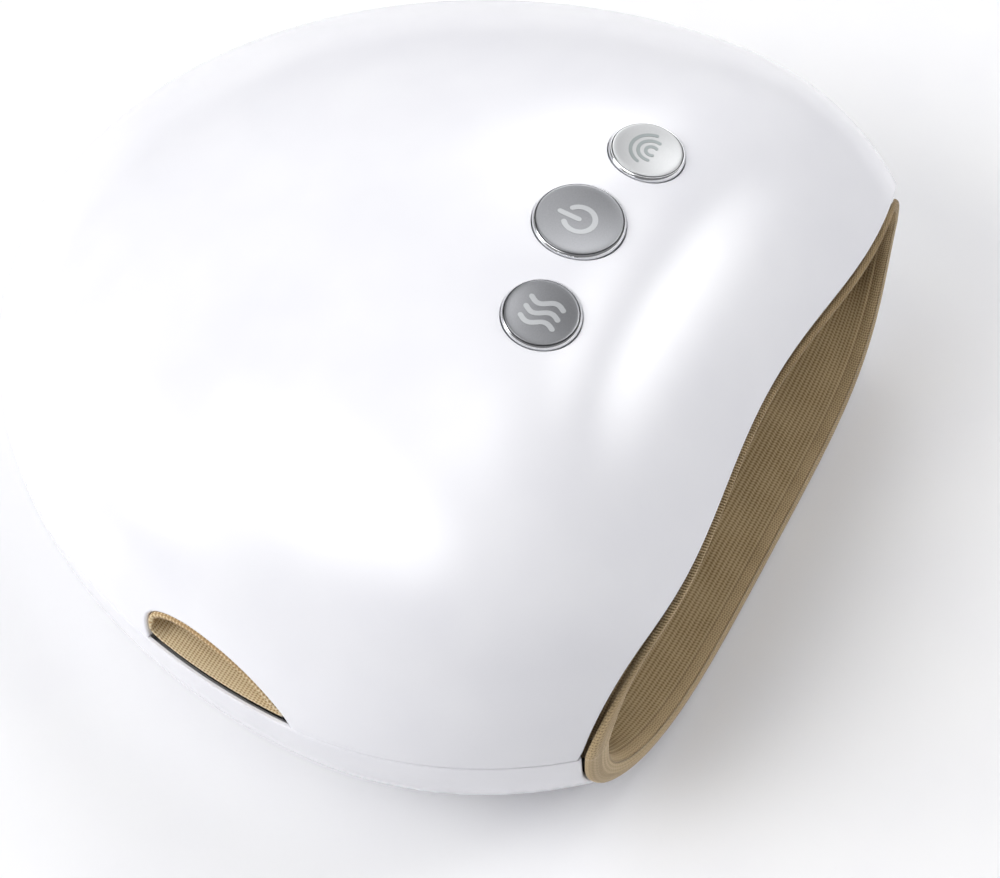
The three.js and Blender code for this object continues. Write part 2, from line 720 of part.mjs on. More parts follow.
// Heights of the deck and of what lies between it and the lining
const liningTop = SEAM_HEIGHT + POCKET_RISE + LINING + FIT_GAP / 2;
const deckLow = liningTop + DECK_CLEARANCE;
const deckHigh = deckLow + DECK_THICKNESS;
const liningLow = SEAM_HEIGHT - POCKET_DROP - LINING - FIT_GAP / 2;
const plateHigh = liningLow - PLATE_CLEARANCE;
const plateLow = plateHigh - PLATE_THICKNESS;
const baseLow = SEAM_HEIGHT - BOWL_DEPTH;
const baseHigh = baseLow + WALL;

const deckPosts = [
  [deckFrontHalfWidth - DECK_FRONT_POST_INSET, DECK_FRONT_Y + DECK_POST_SETBACK],
  [deckBackHalfWidth - DECK_BACK_POST_INSET, DECK_BACK_Y - DECK_POST_SETBACK],
].flatMap(([x, y]) => [[-x, y], [x, y]]);
const baseScrews = [BASE_SCREW_FRONT_Y, BASE_SCREW_BACK_Y]
  .flatMap((y) => [[-baseScrewX, y], [baseScrewX, y]]);
const feet = [FOOT_FRONT_Y, FOOT_BACK_Y].flatMap((y) => [[-footX, y], [footX, y]]);
const shellScrews = [[-shellScrewX, SHELL_SCREW_Y], [shellScrewX, SHELL_SCREW_Y]];
const cornerNames = ['front_left', 'front_right', 'rear_left', 'rear_right'];
const sideNames = ['left', 'right'];

function makeUpperShell() {
  const rimLow = SEAM_HEIGHT + FIT_GAP / 2;
  let shell = domeSolid(0, rimLow).subtract(domeSolid(WALL, SEAM_HEIGHT - CUT_OVERRUN));
  const top = SEAM_HEIGHT + DOME_RISE;
  const withinWall = domeSolid(WALL / 2, 0);
  const posts = [
    ...deckPosts.map(([x, y]) => uprightRod(DECK_POST_RADIUS, x, y, deckHigh, top)),
    ...shellScrews.map(([x, y]) => uprightRod(DECK_POST_RADIUS, x, y, SHELL_BOSS_BOTTOM, top)),
  ];
  for (const y of boardPostYs) {
    for (const side of [-1, 1]) {
      posts.push(uprightRod(BOARD_POST_RADIUS, side * BOARD_POST_X, y, boardTop, top));
    }
  }
  for (const post of posts) {
    shell = shell.add(toSolid(post).intersect(withinWall));
  }
  shell = shell.subtract(mouthCutter(lipY, baseLow, top + CUT_OVERRUN));
  shell = shell.subtract(thumbPair(0, 0, CUT_OVERRUN));
  for (const button of buttons) {
    const boreRadius = button.radius - RING_FACE + RING_SLEEVE + RING_FIT;
    const bore = rod(boreRadius, -CUT_OVERRUN, CUT_OVERRUN, BUTTON_SIDES);
    const seat = rod(button.radius + FIT_GAP, -RING_SINK, CUT_OVERRUN, BUTTON_SIDES);
    shell = shell.subtract(toSolid(place(bore, button.position, button.axis)));
    shell = shell.subtract(toSolid(place(seat, button.position, button.axis)));
  }
  for (const [x, y] of deckPosts) {
    const bore = uprightRod(SCREW_BORE_RADIUS, x, y, deckHigh - WALL, deckHigh + SCREW_LENGTH);
    shell = shell.subtract(toSolid(bore));
  }
  for (const [x, y] of shellScrews) {
    const reach = SHELL_BOSS_BOTTOM + SHELL_SCREW_LENGTH;
    const bore = uprightRod(SCREW_BORE_RADIUS, x, y, SHELL_BOSS_BOTTOM - WALL, reach);
    shell = shell.subtract(toSolid(bore));
  }
  addPart('upper_shell', shell, materials.shell);
}

function makeLowerShell() {
  const rimHigh = SEAM_HEIGHT - FIT_GAP / 2;
  let shell = bowlSolid(0, rimHigh).subtract(bowlSolid(WALL, SEAM_HEIGHT + CUT_OVERRUN));
  const withinWall = bowlSolid(WALL / 2, rimHigh);
  const wellHigh = SHELL_BOSS_BOTTOM - FIT_GAP;
  const wellRadius = SCREW_HEAD_RADIUS + FIT_GAP;
  for (const [x, y] of shellScrews) {
    const well = toSolid(uprightRod(wellRadius + WELL_WALL, x, y, 0, wellHigh));
    shell = shell.add(well.intersect(withinWall));
  }
  const socketY = socketFace() - SOCKET_PAD[1] / 2;
  const pad = toSolid(block(SOCKET_PAD, 0, socketY, SOCKET_HEIGHT - SOCKET_PAD[2] / 2));
  shell = shell.add(pad.intersect(withinWall));
  shell = shell.subtract(mouthCutter(rimY, 0, SEAM_HEIGHT + CUT_OVERRUN));
  for (const [x, y] of shellScrews) {
    shell = shell.subtract(toSolid(uprightRod(wellRadius, x, y, -CUT_OVERRUN, wellHigh - WELL_FLOOR)));
    shell = shell.subtract(toSolid(uprightRod(SCREW_BORE_RADIUS, x, y, 0, SEAM_HEIGHT)));
  }
  for (const [x, y] of baseScrews) {
    const seat = uprightRod(SCREW_HEAD_RADIUS + FIT_GAP, x, y, 0, baseLow + SCREW_HEAD_HEIGHT);
    shell = shell.subtract(toSolid(seat));
    shell = shell.subtract(toSolid(uprightRod(SCREW_BORE_RADIUS, x, y, 0, SEAM_HEIGHT)));
  }
  for (const [x, y] of feet) {
    const recess = uprightRod(FOOT_RADIUS + FIT_GAP, x, y, 0, baseLow + FOOT_RECESS, FOOT_SIDES);
    shell = shell.subtract(toSolid(recess));
  }
  const [width, , height] = SOCKET_SIZE;
  const slot = [width + 2 * FIT_GAP, SOCKET_PAD[1] + 2 * CUT_OVERRUN, height + 2 * FIT_GAP];
  shell = shell.subtract(toSolid(block(slot, 0, socketY, SOCKET_HEIGHT - height / 2 - FIT_GAP)));
  addPart('lower_shell', shell, materials.shell);
}

// The back of the bowl at the charging socket's height
function socketFace() {
  const drop = (SEAM_HEIGHT - SOCKET_HEIGHT) / BOWL_DEPTH;
  return BACK_LENGTH - BOWL_ROUND * (1 - roundOff(drop));
}

function makeLining() {
  const boreInset = THUMB_SLEEVE_WALL + FIT_GAP;
  const holes = thumbPair(boreInset, boreInset, CUT_OVERRUN);
  const room = innerSpace(FIT_GAP);
  const upper = toSolid(liningHalf(true)).subtract(holes).intersect(room);
  const lower = toSolid(liningHalf(false)).intersect(room);
  const frontLow = mouthCutter((x) => rimY(x) - FIT_GAP / 2, 0, SEAM_HEIGHT);
  const frontHigh = mouthCutter((x) => lipY(x) - FIT_GAP / 2, SEAM_HEIGHT, SEAM_HEIGHT + DOME_RISE);
  const welt = toSolid(weltRing()).intersect(room.add(frontLow).add(frontHigh));
  addPart('upper_lining', mainBody(upper), materials.knit);
  addPart('lower_lining', mainBody(lower), materials.knit);
  addPart('mouth_welt', mainBody(welt), materials.knit);
  const core = pocketCore();
  const reach = domeSolid(THUMB_SLEEVE_SINK, SEAM_HEIGHT);
  for (const [index, side] of [-1, 1].entries()) {
    const inner = side > 0 ? thumbInnerX : -thumbOuterX;
    const outer = side > 0 ? thumbOuterX : -thumbInnerX;
    const body = leafCutter(FIT_GAP, FIT_GAP, 0, inner, outer);
    const bore = leafCutter(boreInset, boreInset, 0, inner - CUT_OVERRUN, outer + CUT_OVERRUN);
    const sleeve = mainBody(body.subtract(bore).intersect(reach).subtract(core));
    addPart(`thumb_lining_${sideNames[index]}`, sleeve, materials.knit);
  }
}

function makeButtons() {
  const boardLow = boardTop - BOARD_THICKNESS;
  const board = block([...BUTTON_BOARD_SIZE, BOARD_THICKNESS], 0, boardCentreY, boardLow);
  addPart('button_board', board, materials.board);
  for (const button of buttons) {
    const boreRadius = button.radius - RING_FACE;
    const flange = toSolid(rod(button.radius, -RING_SINK, RING_PROUD, BUTTON_SIDES));
    const sleeve = toSolid(rod(boreRadius + RING_SLEEVE, -RING_SLEEVE_DEPTH, 0, BUTTON_SIDES));
    const bore = toSolid(rod(boreRadius, -CUT_OVERRUN, CUT_OVERRUN, BUTTON_SIDES));
    const ring = toGeometry(flange.add(sleeve).subtract(bore));
    addPart(`bezel_${button.name}`, place(ring, button.position, button.axis), materials.chrome);

    // The stem stops one travel above the switch, measured along the button's own axis
    const pressed = switchTop + BUTTON_TRAVEL + FIT_GAP;
    const stemEnd = (pressed - button.position.z) / button.axis.z;
    const disc = toSolid(rod(boreRadius - FIT_GAP, CAP_PROUD - CAP_THICKNESS, CAP_PROUD, BUTTON_SIDES));
    const stem = toSolid(rod(CAP_STEM_RADIUS, stemEnd, CAP_PROUD - CAP_THICKNESS / 2, SMALL_SIDES));
    const cap = toGeometry(disc.add(stem));
    addPart(`button_${button.name}`, place(cap, button.position, button.axis), button.material);

    const foot = button.position.clone().addScaledVector(button.axis, stemEnd);
    const housing = toSolid(block([SWITCH_SIZE, SWITCH_SIZE, SWITCH_HEIGHT], foot.x, foot.y, boardTop));
    const plungerLow = boardTop + SWITCH_HEIGHT / 2;
    const plunger = toSolid(uprightRod(SWITCH_PLUNGER_RADIUS, foot.x, foot.y, plungerLow, switchTop));
    addPart(`switch_${button.name}`, housing.add(plunger), materials.innerPlastic);
  }
}

function makeDeck() {
  const shape = new THREE.Shape();
  shape.moveTo(-deckFrontHalfWidth, DECK_FRONT_Y);
  shape.lineTo(deckFrontHalfWidth, DECK_FRONT_Y);
  shape.lineTo(deckFrontHalfWidth, 0);
  shape.lineTo(deckBackHalfWidth, DECK_BACK_Y);
  shape.lineTo(-deckBackHalfWidth, DECK_BACK_Y);
  shape.lineTo(-deckFrontHalfWidth, 0);
  const top = deckHigh - FIT_GAP;
  let deck = toSolid(slab(shape, deckLow, top));
  for (const y of saddleYs()) {
    const saddle = block([SADDLE_WIDTH, SADDLE_LENGTH, SADDLE_HEIGHT + FIT_GAP], pumpX, y, top - FIT_GAP);
    deck = deck.add(toSolid(saddle));
  }
  const can = rod(PUMP_RADIUS + FIT_GAP, -BACK_LENGTH, BACK_LENGTH, BUTTON_SIDES);
  deck = deck.subtract(toSolid(place(can, new THREE.Vector3(pumpX, 0, pumpHeight()), BACKWARDS)));
  for (const [x, y] of controlCorners()) {
    deck = deck.add(toSolid(uprightRod(STANDOFF_RADIUS, x, y, deckLow, top + STANDOFF_HEIGHT)));
  }
  for (const [x, y] of deckPosts) {
    deck = deck.subtract(toSolid(uprightRod(SCREW_BORE_RADIUS, x, y, 0, top + CUT_OVERRUN)));
  }
  const [spigotX, spigotY] = upperSpigot();
  const hoseHole = uprightRod(HOSE_RADIUS + 2 * FIT_GAP, spigotX, spigotY, 0, top + CUT_OVERRUN);
  addPart('inner_deck', deck.subtract(toSolid(hoseHole)), materials.innerPlastic);
  for (const [index, [x, y]] of deckPosts.entries()) {
    const screw = makeScrew(deckLow, SCREW_LENGTH).translate(x, y, 0);
    addPart(`deck_screw_${cornerNames[index]}`, screw, materials.steel);
  }
}

// A screw driven upwards, its head under a seat
function makeScrew(seat, length) {
  const head = toSolid(rod(SCREW_HEAD_RADIUS, seat - SCREW_HEAD_HEIGHT, seat));
  const shank = toSolid(rod(SCREW_SHANK_RADIUS, seat - SCREW_HEAD_HEIGHT / 2, seat + length));
  return toGeometry(head.add(shank));
}

function pumpHeight() {
  return deckHigh + PUMP_RADIUS;
}

function saddleYs() {
  const back = PUMP_FRONT_Y + MOTOR_LENGTH;
  return [PUMP_FRONT_Y + SADDLE_LENGTH, back - SADDLE_LENGTH];
}

function controlCorners() {
  const reachX = CONTROL_BOARD_SIZE[0] / 2 - STANDOFF_INSET;
  const reachY = CONTROL_BOARD_SIZE[1] / 2 - STANDOFF_INSET;
  return [CONTROL_BOARD_Y - reachY, CONTROL_BOARD_Y + reachY]
    .flatMap((y) => [[controlBoardX - reachX, y], [controlBoardX + reachX, y]]);
}

function upperSpigot() {
  return [MANIFOLD_POSITION[0] + MANIFOLD_SIZE[0] / 2 + HOSE_TURN, UPPER_BAG_BACK_Y - BAG_CORNER];
}

function makePump() {
  const z = pumpHeight();
  const centre = new THREE.Vector3(pumpX, 0, z);
  const motorBack = PUMP_FRONT_Y + MOTOR_LENGTH;
  const headFront = motorBack + FIT_GAP;
  const headBack = headFront + PUMP_HEAD_LENGTH;
  const onAxis = (solid) => place(toGeometry(solid), centre, BACKWARDS);
  const can = toSolid(rod(PUMP_RADIUS, PUMP_FRONT_Y, motorBack, BUTTON_SIDES));
  const holeFront = motorBack - ROTOR_SHAFT_GRIP - FIT_GAP;
  const shaftHole = toSolid(rod(ROTOR_SHAFT_RADIUS + FIT_GAP, holeFront, motorBack + CUT_OVERRUN));
  addPart('pump_motor', onAxis(can.subtract(shaftHole)), materials.steel);

  const body = toSolid(rod(PUMP_RADIUS, headFront, headBack, BUTTON_SIDES));
  const cavityBack = headFront + PUMP_CAVITY_DEPTH;
  const cavity = toSolid(rod(PUMP_CAVITY_RADIUS, headFront - CUT_OVERRUN, cavityBack, BUTTON_SIDES));
  const nozzle = toSolid(rod(NOZZLE_RADIUS, headBack - WALL, headBack + NOZZLE_LENGTH));
  addPart('pump_head', onAxis(body.subtract(cavity).add(nozzle)), materials.innerPlastic);

  const camFront = headFront + (PUMP_CAVITY_DEPTH - ROTOR_WIDTH) / 2;
  const camBack = camFront + ROTOR_WIDTH;
  const shaft = toSolid(rod(ROTOR_SHAFT_RADIUS, motorBack - ROTOR_SHAFT_GRIP, camBack));
  const cam = toSolid(rod(ROTOR_RADIUS, camFront, camBack, BUTTON_SIDES).translate(0, ROTOR_OFFSET, 0));
  addPart('pump_rotor', onAxis(shaft.add(cam)), materials.steel);
}

function makeValve() {
  const [x, y] = VALVE_POSITION;
  const [width, , height] = VALVE_SIZE;
  const z = deckHigh + height / 2;
  const mouth = new THREE.Vector3(x + width / 2, y, z);
  const along = new THREE.Vector3(1, 0, 0);
  const bore = place(rod(VALVE_BORE_RADIUS, -VALVE_BORE_DEPTH, WALL), mouth, along);
  const body = toSolid(block(VALVE_SIZE, x, y, deckHigh - FIT_GAP));
  addPart('valve_body', body.subtract(toSolid(bore)), materials.steel);
  const back = -VALVE_BORE_DEPTH + PLUNGER_TRAVEL + FIT_GAP;
  const plunger = rod(VALVE_BORE_RADIUS - FIT_GAP, back, back + PLUNGER_LENGTH);
  addPart('valve_plunger', place(plunger, mouth, along), materials.chrome);
}

// A hose: a round section led along a curve through a few points
function hose(points) {
  const path = new THREE.CatmullRomCurve3(points, false, 'centripetal');
  const section = new THREE.Shape().absarc(0, 0, HOSE_RADIUS, 0, 2 * Math.PI);
  const steps = Math.ceil(path.getLength() / (2 * HOSE_RADIUS * HOSE_STEP_SHARE));
  return new THREE.ExtrudeGeometry(section, {
    steps, extrudePath: path, curveSegments: 8, bevelEnabled: false,
  });
}

function makeAirLines() {
  const [x, y] = MANIFOLD_POSITION;
  const [width, depth, height] = MANIFOLD_SIZE;
  const z = deckHigh - FIT_GAP + height / 2;
  const back = y + depth / 2;
  const right = x + width / 2;
  const left = x - width / 2;
  const nozzle = (position, axis) => {
    return toSolid(place(rod(NOZZLE_RADIUS, -WALL, NOZZLE_LENGTH), position, axis));
  };
  const leftwards = new THREE.Vector3(-1, 0, 0);
  const rightwards = new THREE.Vector3(1, 0, 0);
  const body = toSolid(block(MANIFOLD_SIZE, x, y, deckHigh - FIT_GAP))
    .add(nozzle(new THREE.Vector3(left, y, z), leftwards))
    .add(nozzle(new THREE.Vector3(right, y, z), rightwards))
    .add(nozzle(new THREE.Vector3(x, back, z), BACKWARDS));
  addPart('air_manifold', body, materials.innerPlastic);

  const start = NOZZLE_LENGTH + FIT_GAP;
  const straight = HOSE_RADIUS * 2;
  const headBack = PUMP_FRONT_Y + MOTOR_LENGTH + FIT_GAP + PUMP_HEAD_LENGTH;
  addPart('pump_hose', hose([
    new THREE.Vector3(pumpX, headBack + start, pumpHeight()),
    new THREE.Vector3(pumpX, headBack + start + straight, pumpHeight()),
    new THREE.Vector3(left - start - straight, y, z),
    new THREE.Vector3(left - start, y, z),
  ]), materials.hose);

  const [spigotX, spigotY] = upperSpigot();
  const upperEnd = bagHigh() + SPIGOT_LENGTH + FIT_GAP;
  addPart('upper_hose', hose([
    new THREE.Vector3(right + start, y, z),
    new THREE.Vector3(right + start + straight / 2, y, z),
    new THREE.Vector3(spigotX, spigotY, upperEnd + straight),
    new THREE.Vector3(spigotX, spigotY, upperEnd),
  ]), materials.hose);

  const behindPocket = -LIP_MIDDLE + pocketEnd + HOSE_TURN;
  const floorZ = lowerSpigotZ();
  addPart('lower_hose', hose([
    new THREE.Vector3(x, back + start, z),
    new THREE.Vector3(x, back + start + straight, z),
    new THREE.Vector3(x, behindPocket - HOSE_TURN, liningTop),
    new THREE.Vector3(x, behindPocket, SEAM_HEIGHT + HOSE_TURN / 2),
    new THREE.Vector3(x, behindPocket, SEAM_HEIGHT - HOSE_TURN / 2),
    new THREE.Vector3(x, behindPocket - HOSE_TURN, floorZ + HOSE_RADIUS),
    new THREE.Vector3(x, PLATE_BACK_Y + start + straight + SPIGOT_LENGTH, floorZ),
    new THREE.Vector3(x, PLATE_BACK_Y + SPIGOT_LENGTH + FIT_GAP, floorZ),
  ]), materials.hose);
}

function bagHigh() {
  return deckLow - FIT_GAP;
}

function lowerSpigotZ() {
  return (plateHigh + liningLow) / 2;
}

// A flat bag with softened edges
function bag(halfWidth, front, back, low, high) {
  const shape = roundedRectangle(halfWidth - BAG_EDGE, front + BAG_EDGE, back - BAG_EDGE, BAG_CORNER);
  return new THREE.ExtrudeGeometry(shape, {
    depth: high - low - 2 * BAG_EDGE,
    bevelThickness: BAG_EDGE,
    bevelSize: BAG_EDGE,
    bevelSegments: 1,
    curveSegments: 3,
  }).translate(0, 0, low + BAG_EDGE);
}

function makeBags() {
  const padLow = liningTop + FIT_GAP;
  const padHigh = padLow + PAD_THICKNESS;
  const pad = roundedRectangle(PAD_SIZE[0] / 2, -PAD_SIZE[1] / 2, PAD_SIZE[1] / 2, BAG_CORNER / 2);
  addPart('heating_pad', slab(pad, padLow, padHigh, 2), materials.pad);

  const [spigotX, spigotY] = upperSpigot();
  const high = bagHigh();
  const upper = toSolid(
    bag(upperBagHalfWidth, UPPER_BAG_FRONT_Y, UPPER_BAG_BACK_Y, padHigh + FIT_GAP, high),
  );
  const spigot = uprightRod(SPIGOT_RADIUS, spigotX, spigotY, high - BAG_EDGE, high + SPIGOT_LENGTH);
  addPart('upper_air_bag', upper.add(toSolid(spigot)), materials.bag);

  const lower = toSolid(
    bag(plateHalfWidth, PLATE_FRONT_Y, PLATE_BACK_Y, plateHigh + FIT_GAP, liningLow - FIT_GAP),
  );
  const tail = place(
    rod(SPIGOT_RADIUS / 2, -BAG_CORNER, SPIGOT_LENGTH),
    new THREE.Vector3(MANIFOLD_POSITION[0], PLATE_BACK_Y, lowerSpigotZ()), BACKWARDS,
  );
  addPart('lower_air_bag', lower.add(toSolid(tail)), materials.bag);
}

function makeFloor() {
  const shape = roundedRectangle(plateHalfWidth, PLATE_FRONT_Y, PLATE_BACK_Y, BAG_CORNER);
  let plate = toSolid(slab(shape, plateLow, plateHigh));
  const screwSeat = baseLow + SCREW_HEAD_HEIGHT;
  for (const [x, y] of baseScrews) {
    plate = plate.add(toSolid(uprightRod(BASE_BOSS_RADIUS, x, y, baseHigh, plateHigh)));
  }
  for (const [x, y] of baseScrews) {
    plate = plate.subtract(toSolid(uprightRod(SCREW_BORE_RADIUS, x, y, 0, plateHigh + CUT_OVERRUN)));
  }
  addPart('floor_plate', plate, materials.innerPlastic);
  const length = plateHigh - screwSeat - FIT_GAP;
  for (const [index, [x, y]] of baseScrews.entries()) {
    const screw = makeScrew(screwSeat, length).translate(x, y, 0);
    addPart(`base_screw_${cornerNames[index]}`, screw, materials.steel);
  }
  for (const [index, [x, y]] of feet.entries()) {
    const foot = uprightRod(FOOT_RADIUS, x, y, 0, baseLow + FOOT_RECESS, FOOT_SIDES);
    addPart(`foot_${cornerNames[index]}`, foot, materials.rubber);
  }
  const wellSeat = SHELL_BOSS_BOTTOM - FIT_GAP - WELL_FLOOR;
  for (const [index, [x, y]] of shellScrews.entries()) {
    const screw = makeScrew(wellSeat, SHELL_SCREW_LENGTH).translate(x, y, 0);
    addPart(`shell_screw_${sideNames[index]}`, screw, materials.steel);
  }
}

function makeElectronics() {
  const battery = block([batteryWidth, BATTERY_LENGTH, BATTERY_HEIGHT], 0, BATTERY_Y, deckHigh - FIT_GAP);
  addPart('battery_pack', battery, materials.battery);
  const boardLow = deckHigh - FIT_GAP + STANDOFF_HEIGHT;
  const buzzerLow = boardLow + BOARD_THICKNESS;
  const board = block([...CONTROL_BOARD_SIZE, BOARD_THICKNESS], controlBoardX, CONTROL_BOARD_Y, boardLow);
  addPart('control_board', board, materials.board);
  const buzzer = rod(BUZZER_RADIUS, buzzerLow, buzzerLow + BUZZER_HEIGHT, BUTTON_SIDES);
  addPart('buzzer', buzzer.translate(controlBoardX, CONTROL_BOARD_Y, 0), materials.innerPlastic);

  const [width, depth, height] = SOCKET_SIZE;
  const face = socketFace() - FIT_GAP;
  const low = SOCKET_HEIGHT - height / 2;
  const can = toSolid(block(SOCKET_SIZE, 0, face - depth / 2, low));
  const hollow = [width - 2 * SOCKET_WALL, SOCKET_DEPTH + WALL, height - 2 * SOCKET_WALL];
  const space = toSolid(block(hollow, 0, face - SOCKET_DEPTH + hollow[1] / 2, low + SOCKET_WALL));
  const tongueY = face - SOCKET_DEPTH + SOCKET_TONGUE[1] / 2 - SOCKET_WALL;
  const tongue = toSolid(block(SOCKET_TONGUE, 0, tongueY, SOCKET_HEIGHT - SOCKET_TONGUE[2] / 2));
  addPart('charge_socket', can.subtract(space).add(tongue), materials.steel);
}

makeUpperShell();
makeLowerShell();
makeLining();
makeButtons();
makeDeck();
makePump();
makeValve();
makeAirLines();
makeBags();
makeFloor();
makeElectronics();

// The origin lies on the table under the middle of the object's box
model.updateMatrixWorld(true);
const box = new THREE.Box3().setFromObject(model);
model.position.set(0, -(box.min.y + box.max.y) / 2, 0);

export default model;
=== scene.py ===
"""Hand massager: the glossy shell, the knit pocket and the three buttons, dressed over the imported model."""
import json
import math

import bmesh
import bpy
import numpy as np
from mathutils import Matrix, Vector
from mathutils.geometry import delaunay_2d_cdt


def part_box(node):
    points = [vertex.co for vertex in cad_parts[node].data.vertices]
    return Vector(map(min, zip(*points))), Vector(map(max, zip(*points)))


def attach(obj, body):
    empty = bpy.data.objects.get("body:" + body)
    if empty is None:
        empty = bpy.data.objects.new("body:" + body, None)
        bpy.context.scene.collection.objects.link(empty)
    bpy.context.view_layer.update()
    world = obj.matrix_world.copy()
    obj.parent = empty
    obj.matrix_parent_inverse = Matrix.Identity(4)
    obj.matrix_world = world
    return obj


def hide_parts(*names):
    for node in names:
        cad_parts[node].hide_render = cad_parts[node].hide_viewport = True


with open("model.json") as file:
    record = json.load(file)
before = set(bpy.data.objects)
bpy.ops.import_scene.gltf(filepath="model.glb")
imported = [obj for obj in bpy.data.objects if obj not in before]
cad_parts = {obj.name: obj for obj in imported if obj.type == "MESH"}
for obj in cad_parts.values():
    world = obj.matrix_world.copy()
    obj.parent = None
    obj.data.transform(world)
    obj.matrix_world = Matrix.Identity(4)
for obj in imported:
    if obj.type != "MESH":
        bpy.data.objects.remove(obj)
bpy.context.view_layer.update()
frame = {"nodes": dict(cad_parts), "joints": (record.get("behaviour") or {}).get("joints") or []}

MM = 0.001

# Body outline and height, millimetres, as in the part
HALF_WIDTH = 115.2
BACK_LENGTH = 136.2
FRONT_LENGTH = 104.9
SEAM_HEIGHT = 40
DOME_RISE = 64.6
DOME_POWER = 2.8
DOME_ROOT = 1.34
APEX_FORWARD = 40
BOWL_DEPTH = 36
BOWL_ROUND = 40
BOWL_POWER = 2.6
WALL = 2.6
SEAM_GAP = 0.3
LIP_MIDDLE = 66.4
LIP_CORNER = 63.5
LIP_BULGE = 22.3
LIP_RETURN = 40
BROW_HEIGHT = 72.7
BROW_BLEND = 9
BROW_SLOPE = 1.01
BROW_WALL_SHARE = 1.4
RIM_FORWARD = 7.6
RIM_POWER = 4

# The hand pocket and its lining
LINING = 2.4
LINING_CLEARANCE = 0.6
POCKET_HALF_WIDTH = 95
POCKET_RISE = 24
POCKET_DROP = 23
POCKET_TAPER_START = 25
POCKET_TAPER_LENGTH = 70
POCKET_BLEND_LENGTH = 22
POCKET_SECTION_POWER = 2.6

# Thumb holes
THUMB_FRONT_Y = -2
THUMB_LENGTH = 42.5
THUMB_HEIGHT = 10.9
LEAF_CROWN = [[0.1, 0.55], [0.35, 1], [0.66, 1]]
LEAF_TAIL = [[0.82, 1], [1, 0.8], [1, 0.5]]
LEAF_HEEL = [[1, 0.2], [0.95, 0], [0.9, 0]]
SLEEVE_WALL = 1.6
SLEEVE_SINK = 0.8

# The part's own y of the frame's zero
SHIFT_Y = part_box("lower_shell")[1].y / MM - BACK_LENGTH

MOUTH_HALF_WIDTH = HALF_WIDTH * math.sqrt(1 - (LIP_CORNER / FRONT_LENGTH) ** 2)


# The body's forms

def halve(low, high, within):
    """Halves the way between two values until it meets the place where the test stops holding"""
    for _ in range(50):
        middle = (low + high) / 2
        holds = within(middle)
        low = np.where(holds, middle, low)
        high = np.where(holds, high, middle)
    return (low + high) / 2


def plan_reach(angle, inset):
    """How far the seam line lies from the middle, in the direction of an angle"""
    length = np.where(np.sin(angle) < 0, FRONT_LENGTH, BACK_LENGTH)
    return 1 / np.hypot(np.cos(angle) / (HALF_WIDTH - inset), np.sin(angle) / (length - inset))


def dome_rise(share, y, inset):
    """Height of the dome above the seam line, lowered over the mouth by the brow"""
    full = (DOME_RISE - inset) * np.maximum(1 - share ** DOME_POWER, 0) ** (1 / DOME_ROOT)
    brow = BROW_HEIGHT - SEAM_HEIGHT - inset * BROW_WALL_SHARE + BROW_SLOPE * (y + LIP_MIDDLE)
    least = np.minimum(full, brow)
    both = np.exp((least - full) / BROW_BLEND) + np.exp((least - brow) / BROW_BLEND)
    return np.where(share < 1, np.maximum(least - BROW_BLEND * np.log(both), 0), 0)


def dome_point(angle, share, inset=0.0):
    reach = plan_reach(angle, inset) * share
    y = reach * np.sin(angle) - APEX_FORWARD * (1 - share * share)
    return np.stack([reach * np.cos(angle), y, SEAM_HEIGHT + dome_rise(share, y, inset)], -1)


def dome_height(x, y, inset=0.0):
    """Height of the dome over a place in plan"""
    share = np.full(np.shape(x), 0.5)
    for _ in range(60):
        shifted = y + APEX_FORWARD * (1 - share * share)
        reach = np.hypot(x, shifted) / plan_reach(np.arctan2(shifted, x), inset)
        share = (share + np.minimum(reach, 1)) / 2
    return SEAM_HEIGHT + dome_rise(share, y, inset)


def round_off(share):
    """How far down the bowl is, as a share of its depth, at a share of the way out to its edge"""
    return (1 - share ** BOWL_POWER) ** (1 / BOWL_POWER)


def bowl_height(x, y, inset=0.0):
    drawn_in = halve(-WALL, BOWL_ROUND, lambda into: np.hypot(x, y) < plan_reach(np.arctan2(y, x), into))
    run = np.minimum(np.maximum(drawn_in - inset, 0) / (BOWL_ROUND - inset), 1)
    return SEAM_HEIGHT - (BOWL_DEPTH - inset) * round_off(1 - run)


def lip_y(x):
    share = np.minimum((x / MOUTH_HALF_WIDTH) ** 2, 1)
    rest = LIP_CORNER - LIP_MIDDLE - LIP_BULGE + LIP_RETURN
    return -(LIP_MIDDLE + LIP_BULGE * share - LIP_RETURN * share ** 2 + rest * share ** 3)


def rim_y(x):
    share = np.minimum(np.abs(x) / MOUTH_HALF_WIDTH, 1)
    return -(LIP_CORNER + RIM_FORWARD * (1 - share ** RIM_POWER))


def bezier(start, handle, other, end, count):
    u = np.linspace(0, 1, count + 1)[1:, None]
    start, handle, other, end = map(np.array, (start, handle, other, end))
    return (1 - u) ** 3 * start + 3 * (1 - u) ** 2 * u * handle + 3 * (1 - u) * u ** 2 * other + u ** 3 * end


def leaf_outline(inset=0.0, lift=0.0, count=24):
    """The thumb hole in (y, height above the seam), from its tip over the crown to the heel"""
    front = THUMB_FRONT_Y + inset * 2.2
    length = THUMB_FRONT_Y + THUMB_LENGTH - inset - front
    rise = THUMB_HEIGHT - inset - lift
    points = [np.array([[0.0, 0.0]])]
    for bend in (LEAF_CROWN, LEAF_TAIL, LEAF_HEEL):
        points.append(bezier(points[-1][-1], *bend, count))
    outline = np.concatenate(points)
    return np.stack([front + length * outline[:, 0], lift + rise * outline[:, 1]], -1)


# A flat plan of each half of the shell, in millimetres along its surface, so that it can be meshed evenly

